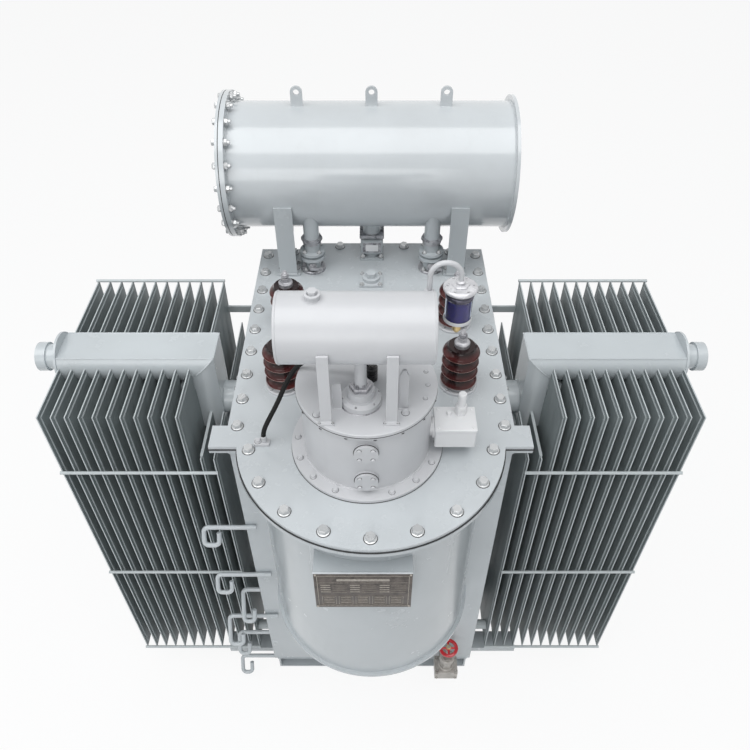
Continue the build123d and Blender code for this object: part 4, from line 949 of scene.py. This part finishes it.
# Ribbed terminal on the lid
lidTerminal = {"foot": 0.0190, "core": 0.0135, "ribs": 4, "ribPitch": 0.010, "top": 0.054}
place = stand(*middle("lid_terminal").xy, lidTop)
foot, core, top = lidTerminal["foot"], lidTerminal["core"], lidTerminal["top"]
rings = [(0, 0), (foot, 0), (foot, 0.008)]
for rib in range(lidTerminal["ribs"]):
    level = (rib + 1) * lidTerminal["ribPitch"]
    rings += offsets(0, level, ((core, 0), (foot, 0.0025), (foot, 0.0055), (core, 0.0080)))
rings += [(0.015, top - 0.003), (0.015, top), (0, top)]
post = turned("lid_terminal_ribs", rings, 40, place, leadRubber)
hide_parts("lid_terminal")
made = bmesh.new()
addPlug(made, 0.010, top, top + 0.014, place, 6, (0.0012, 0.0025))
piece("lid_terminal_clamp", made, baredSteel)


# Filler cap's collar and the seam at its foot
x, y = middle("filler_cap").xy
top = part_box("filler_cap")[1].z
made = bmesh.new()
collar = offsets(0, top, (
    (0.0145, -0.0145), (0.0215, -0.0145), (0.0222, -0.0120), (0.0215, -0.0095), (0.0145, -0.0085),
))
addRings(made, collar, 32, stand(x, y), closed=True)
weldRing(made, (x, y, smallAt.z + 0.0955), 0.0192, size="finest", pitch=0.003)
piece("filler_collar", made, turretPaint)


# Junction box lid, its screws and plugs, and the gland's nuts
junction = {"wide": 0.126, "proud": 0.0015, "lid": 0.012, "screwIn": 0.010}
boxLow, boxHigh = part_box("junction_box")
boxLeft, top, proud = boxHigh.x - junction["wide"], boxHigh.z, junction["proud"]
made = bmesh.new()
addBox(made, (boxLeft - proud, boxLow.y - proud, top - junction["lid"]),
       (boxHigh.x + proud, boxHigh.y + proud, top + proud), 0.003)
for x in (boxLeft + junction["screwIn"], boxHigh.x - junction["screwIn"]):
    for y in (boxLow.y + junction["screwIn"], boxHigh.y - junction["screwIn"]):
        screw = [(0, 0), (0.0042, 0), (0.0042, 0.0018), (0.0030, 0.0030), (0, 0.0033)]
        addRings(made, screw, 16, stand(x, y, top + 0.0012))
addPlug(made, 0.009, 0, 0.012, stand(boxLeft + 0.045, boxHigh.y - 0.030, top + 0.0012), 6, (0.0015, 0.002))
entry = stand(boxLeft - 0.006, (boxLow.y + boxHigh.y) / 2, (boxLow.z + boxHigh.z) / 2, (1, 0, 0))
addCollar(made, 0.027, 0.033, 0, 0.006, entry)
gland = stand(*middle("box_gland").xy, top)
addPlug(made, 0.0195, 0.001, 0.013, gland, 6, (0.0015, 0.002))
addPlug(made, 0.0190, 0.022, 0.036, gland, 8, (0.0025, 0.004))
piece("junction_box_lid", made, boxPaint)
print("turret details done")


# Earthing lead from the cover to the terminal on the lid
lead = {"radius": 0.006, "length": 0.5193, "sleeve": 0.0076, "endGap": 0.011, "endTurn": 157}
lugLow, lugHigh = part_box("lead_lug")
terminalLow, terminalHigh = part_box("lid_terminal")
footX, footY, footZ = -0.340, (lugLow.y + lugHigh.y) / 2, lugHigh.z
postY = (terminalLow.y + terminalHigh.y) / 2
clampBase = lidTop + lidTerminal["top"]
endX, endY = (lead["endGap"] * turn(math.radians(lead["endTurn"])) for turn in (math.cos, math.sin))
leadRoute = [
    (footX, footY, footZ),
    (footX, footY, footZ + 0.028),
    (-0.318, tankFront - 0.023, footZ + 0.071),
    (-0.290, tankFront - 0.003, footZ + 0.118),
    (-0.255, tankFront + 0.017, footZ + 0.198),
    (-0.215, tankFront + 0.027, footZ + 0.263),
    (-0.160, tankFront + 0.022, footZ + 0.288),
    (-0.100, tankFront + 0.012, footZ + 0.298),
    (-0.045, tankFront + 0.002, footZ + 0.304),
    (0.002 + endX, postY + endY, clampBase + 0.007),
]


def runCurve(name, route, radius, coat):
    curve = bpy.data.curves.new(name, "CURVE")
    curve.dimensions = "3D"
    curve.bevel_depth = radius
    curve.bevel_resolution = 5
    curve.resolution_u = 16
    curve.use_fill_caps = True
    spline = curve.splines.new("NURBS")
    spline.points.add(len(route) - 1)
    for point, place in zip(spline.points, route):
        point.co = (*place, 1)
    spline.order_u = 3
    spline.use_endpoint_u = True
    curve.materials.append(coat)
    made = newObject(name, curve)
    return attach(made, body)


leadPiece = runCurve("earthing_lead", leadRoute, lead["radius"], leadRubber)
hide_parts("earth_lead")
# The sleeve keeps to the lead's own line: a quadratic curve passes mid-way between its points
sleeveEnd = (Vector(leadRoute[5]) + Vector(leadRoute[6])) / 2
sleevePiece = runCurve("lead_sleeve", leadRoute[:6] + [tuple(sleeveEnd)], lead["sleeve"], blackSleeve)
made = bmesh.new()
tie = stand(*sleeveEnd, Vector(leadRoute[6]) - Vector(leadRoute[5]))
tieRings = [(0.0061, -0.005), (0.0092, -0.005), (0.0096, 0), (0.0092, 0.005), (0.0061, 0.005)]
addRings(made, tieRings, 24, tie, closed=True)
addPlug(made, 0.0035, 0, 0.011, stand(*sleeveEnd, (0.6, -0.7, 0.4)), 8)
tiePiece = piece("lead_tie", made, blackSleeve)
made = bmesh.new()
ferrule = [(0.0077, 0), (0.0094, 0), (0.0094, 0.010), (0.0077, 0.012)]
addRings(made, ferrule, 24, stand(footX, footY, footZ - 0.001), closed=True)
addBolt(made, (lugLow.x + 0.013, footY, coverTop + 0.010), size=0.011)
piece("lead_lug_fittings", made, turretPaint)
print("lead done")


# Nameplate with plain ruling and blocks
plate = {"thick": 0.003, "edge": 0.010, "relief": 0.0009, "rule": 0.002, "rivetIn": 0.007, "lip": 0.0035}
table = {"rows": 4, "rowPitch": 0.013, "columns": 3, "columnPitch": 0.090}
cells = {"count": 5, "pitch": 0.052, "wide": 0.044, "high": 0.050, "line": 0.0012, "lines": 4}
holderLow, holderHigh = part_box("nameplate_holder")
left, right = holderLow.x, holderHigh.x
bottom, top = holderLow.z + 0.004, holderHigh.z - 0.004
face = holderLow.y
front = face - plate["thick"]
made = bmesh.new()
addBox(made, (left + 0.001, front, bottom), (right - 0.001, face, top), 0.0010)
piece("nameplate_plate", made, plateMetal)
made = bmesh.new()
addPlug(made, plate["lip"], 0, right - left, stand(left, face - 0.0005, holderHigh.z - 0.0015, (1, 0, 0)), 12)
piece("holder_lip", made, coverPaint)
made = bmesh.new()


def raised(x, z, wide, high):
    addBox(made, (x, front - plate["relief"], z), (x + wide, front, z + high))


edge, rule = plate["edge"], plate["rule"]
for x in (left + edge, right - edge - rule):
    raised(x, bottom + edge, rule, top - bottom - 2 * edge)
for z in (bottom + edge, top - edge - rule):
    raised(left + edge, z, right - left - 2 * edge, rule)
titleZ = top - 0.040
raised(left + 0.070, titleZ, right - left - 0.140, 0.012)
raised(left + 0.016, titleZ - 0.010, right - left - 0.032, 0.0012)
for row in range(table["rows"]):
    z = titleZ - 0.026 - row * table["rowPitch"]
    for column in range(table["columns"]):
        x = left + 0.020 + column * table["columnPitch"]
        raised(x, z, 0.030, 0.0045)
        raised(x + 0.036, z - 0.0015, 0.044, 0.0010)
wide, high, line = cells["wide"], cells["high"], cells["line"]
z = bottom + 0.020
for column in range(cells["count"]):
    x = left + 0.022 + column * cells["pitch"]
    raised(x, z, wide, line)
    raised(x, z + high, wide, line)
    raised(x, z, line, high + line)
    raised(x + wide - line, z, line, high + line)
    for row in range(cells["lines"]):
        raised(x + 0.006, z + (row + 1) * 0.010, 0.032, 0.0025)
for x in (left + plate["rivetIn"], right - plate["rivetIn"]):
    for z in (bottom + plate["rivetIn"], top - plate["rivetIn"]):
        rivet = [(0, 0), (0.0042, 0), (0.0036, 0.0016), (0.0018, 0.0024), (0, 0.0026)]
        addRings(made, rivet, 16, stand(x, front, z, (0, -1, 0)))
piece("nameplate_relief", made, plateRelief)
print("nameplate done")


# Drain valve and its wheel
drain = {
    "bonnetBolts": (0.042, 0.030), "flangeTop": 0.200, "stem": (0.0071, 0.0083, 0.003), "stemTop": 0.352,
    "faceBolts": (0.043, 0.040), "faceLevels": (0.147, 0.189),
    "stack": (  # radius, foot, top, sides, chamfer
        (0.0360, 0.200, 0.211, 32, (0.003, 0.003)),
        (0.0335, 0.262, 0.286, 32, (0.0035, 0.004)),
        (0.0165, 0.298, 0.318, 6, (0.003, 0.004)),
    ),
}
wheel = {
    "outer": 0.0435, "inner": 0.0280, "thick": 0.012, "spokes": 4, "spoke": 0.0046,
    "hub": 0.0125, "bore": 0.0076, "hubReach": 0.009,
}
wheelLow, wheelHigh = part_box("drain_wheel")
x, y = middle("drain_wheel").xy
place = stand(x, y)
made = bmesh.new()
for sx in (-1, 1):
    for sy in (-1, 1):
        dx, dy = drain["bonnetBolts"]
        addBolt(made, (x + sx * dx, y + sy * dy, drain["flangeTop"]), size=0.0065, washer=False)
for radius, low, high, sides, chamfer in drain["stack"]:
    addPlug(made, radius, low, high, place, sides, chamfer)
root, crest, pitch = drain["stem"]
stem = threadRings(high, drain["stemTop"] - 0.002, root, crest, pitch)
addRings(made, [(0, high), *stem, (root, drain["stemTop"]), (0, drain["stemTop"])], 20, place)
wide, out = drain["faceBolts"]
for dx in (-wide, wide):
    for z in drain["faceLevels"]:
        addBolt(made, (x + dx, y - out, z), (0, -1, 0), size=0.0060, washer=False)
piece("drain_valve_fittings", made, valveMetal)
made = bmesh.new()
low = wheelLow.z + 0.0010
high = low + wheel["thick"]
level = (low + high) / 2
outer, inner = wheel["outer"], wheel["inner"]
addRings(made, [
    (inner + 0.0008, low + 0.002), (inner + 0.003, low), (outer - 0.004, low), (outer - 0.001, low + 0.002),
    (outer, low + 0.005), (outer - 0.0008, high - 0.0025), (outer - 0.004, high), (inner + 0.003, high),
    (inner + 0.0008, high - 0.002), (inner, level),
], 64, place, closed=True)
for dx, dy in ringSpots(wheel["spokes"], 1.0):
    long = inner - 0.006
    spoke = [(0, 0), (wheel["spoke"] * 1.15, 0), (wheel["spoke"], long), (0, long)]
    reach = wheel["hubReach"]
    addRings(made, spoke, 16, stand(x + reach * dx, y + reach * dy, level, (dx, dy, 0)))
bore, top = wheel["bore"], wheelHigh.z
addCollar(made, bore, wheel["hub"], wheelLow.z, top, place)
rimPiece = piece("drain_wheel_rim", made, wheelPaint, rides="handwheel")
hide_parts("drain_wheel")
nut = [(bore, 0.0002), (0.0120, 0.0002), (0.0120, 0.0045), (0.0100, 0.0060), (bore, 0.0060)]
turned("drain_wheel_nut", nut, 6, stand(x, y, top), castBrass, closed=True, rides="handwheel")
print("valve done")


# Dark rings of painted shade round the feet of all bolts
piece("joint_painted_shade", boltShadeRings, boltShadeGrey)
print("joint painted shade done")


# Camera, light and backdrop
view = {"lens": 34.32, "place": (0.013, -1.996, 3.487), "tilt": 45.8}
softboxes = {  # place, target, size, power
    "topSoftbox": ((-1.6, -2.0, 9.6), (-1.6, 0, 1.4), (13.0, 7.0), 780),
    "frontSoftbox": ((-1.6, -6.2, 3.4), (-1.6, 0, 1.2), (5.0, 2.6), 82),
    "leftSoftbox": ((-5.6, -0.6, 2.8), (0, 0, 1.2), (2.6, 2.6), 10),
    "rightSoftbox": ((5.6, 0.4, 3.4), (0, 0, 1.4), (2.6, 2.6), 4),
}
backdrop = {"fill": 0.32, "fillColour": (0.93, 0.97, 1.0, 1), "paper": (0.79, 0.80, 0.81, 1), "glow": 0.90}
white = {"Color": (1, 1, 1, 1), "Strength": 1.0}
cameraData = bpy.data.cameras.new("camera")
cameraData.lens = view["lens"]
cameraData.sensor_width = 36
camera = newObject("camera", cameraData, view["place"])
camera.rotation_euler = (math.radians(view["tilt"]), 0, 0)
bpy.context.scene.camera = camera
for name, (place, target, size, power) in softboxes.items():
    data = bpy.data.lights.new(name, "AREA")
    data.shape = "RECTANGLE"
    data.size, data.size_y = size
    data.energy = power
    turn = (Vector(target) - Vector(place)).to_track_quat("-Z", "Y")
    newObject(name, data, place).rotation_euler = turn.to_euler()


def freshTree(owner):
    owner.use_nodes = True
    owner.node_tree.nodes.clear()
    return owner.node_tree


def seenRays(tree):
    # 1 for rays from the camera, through glass and off gloss, 0 for the light that bounces about
    rays = addNode(tree, "ShaderNodeLightPath").outputs
    clear = mathNode(tree, "MAXIMUM", rays["Is Camera Ray"], rays["Is Transmission Ray"])
    return mathNode(tree, "MAXIMUM", clear, rays["Is Glossy Ray"])


def blendOut(tree, kind, factor, first, second):
    blend = addNode(tree, "ShaderNodeMixShader", {0: factor, 1: first.outputs[0], 2: second.outputs[0]})
    addNode(tree, kind, {0: blend.outputs[0]})


world = bpy.data.worlds.new("studio")
bpy.context.scene.world = world
tree = freshTree(world)
fill = addNode(tree, "ShaderNodeBackground", {"Color": backdrop["fillColour"], "Strength": backdrop["fill"]})
blendOut(tree, "ShaderNodeOutputWorld", seenRays(tree), fill, addNode(tree, "ShaderNodeBackground", white))

floorMesh = bmesh.new()
bmesh.ops.create_grid(floorMesh, x_segments=1, y_segments=1, size=40)
floorData = bpy.data.meshes.new("floor")
floorMesh.to_mesh(floorData)
floorMesh.free()
floor = newObject("floor", floorData, (0, 0, -0.001))
floorPaper = bpy.data.materials.new("floorPaper")
tree = freshTree(floorPaper)
paper = addNode(tree, "ShaderNodeBsdfPrincipled", {"Base Color": backdrop["paper"], "Roughness": 0.9})
share = mathNode(tree, "MULTIPLY", seenRays(tree), backdrop["glow"])
blendOut(tree, "ShaderNodeOutputMaterial", share, paper, addNode(tree, "ShaderNodeEmission", white))
floorData.materials.append(floorPaper)

bpy.context.scene.view_settings.view_transform = "Standard"
print("camera, light and floor ready")
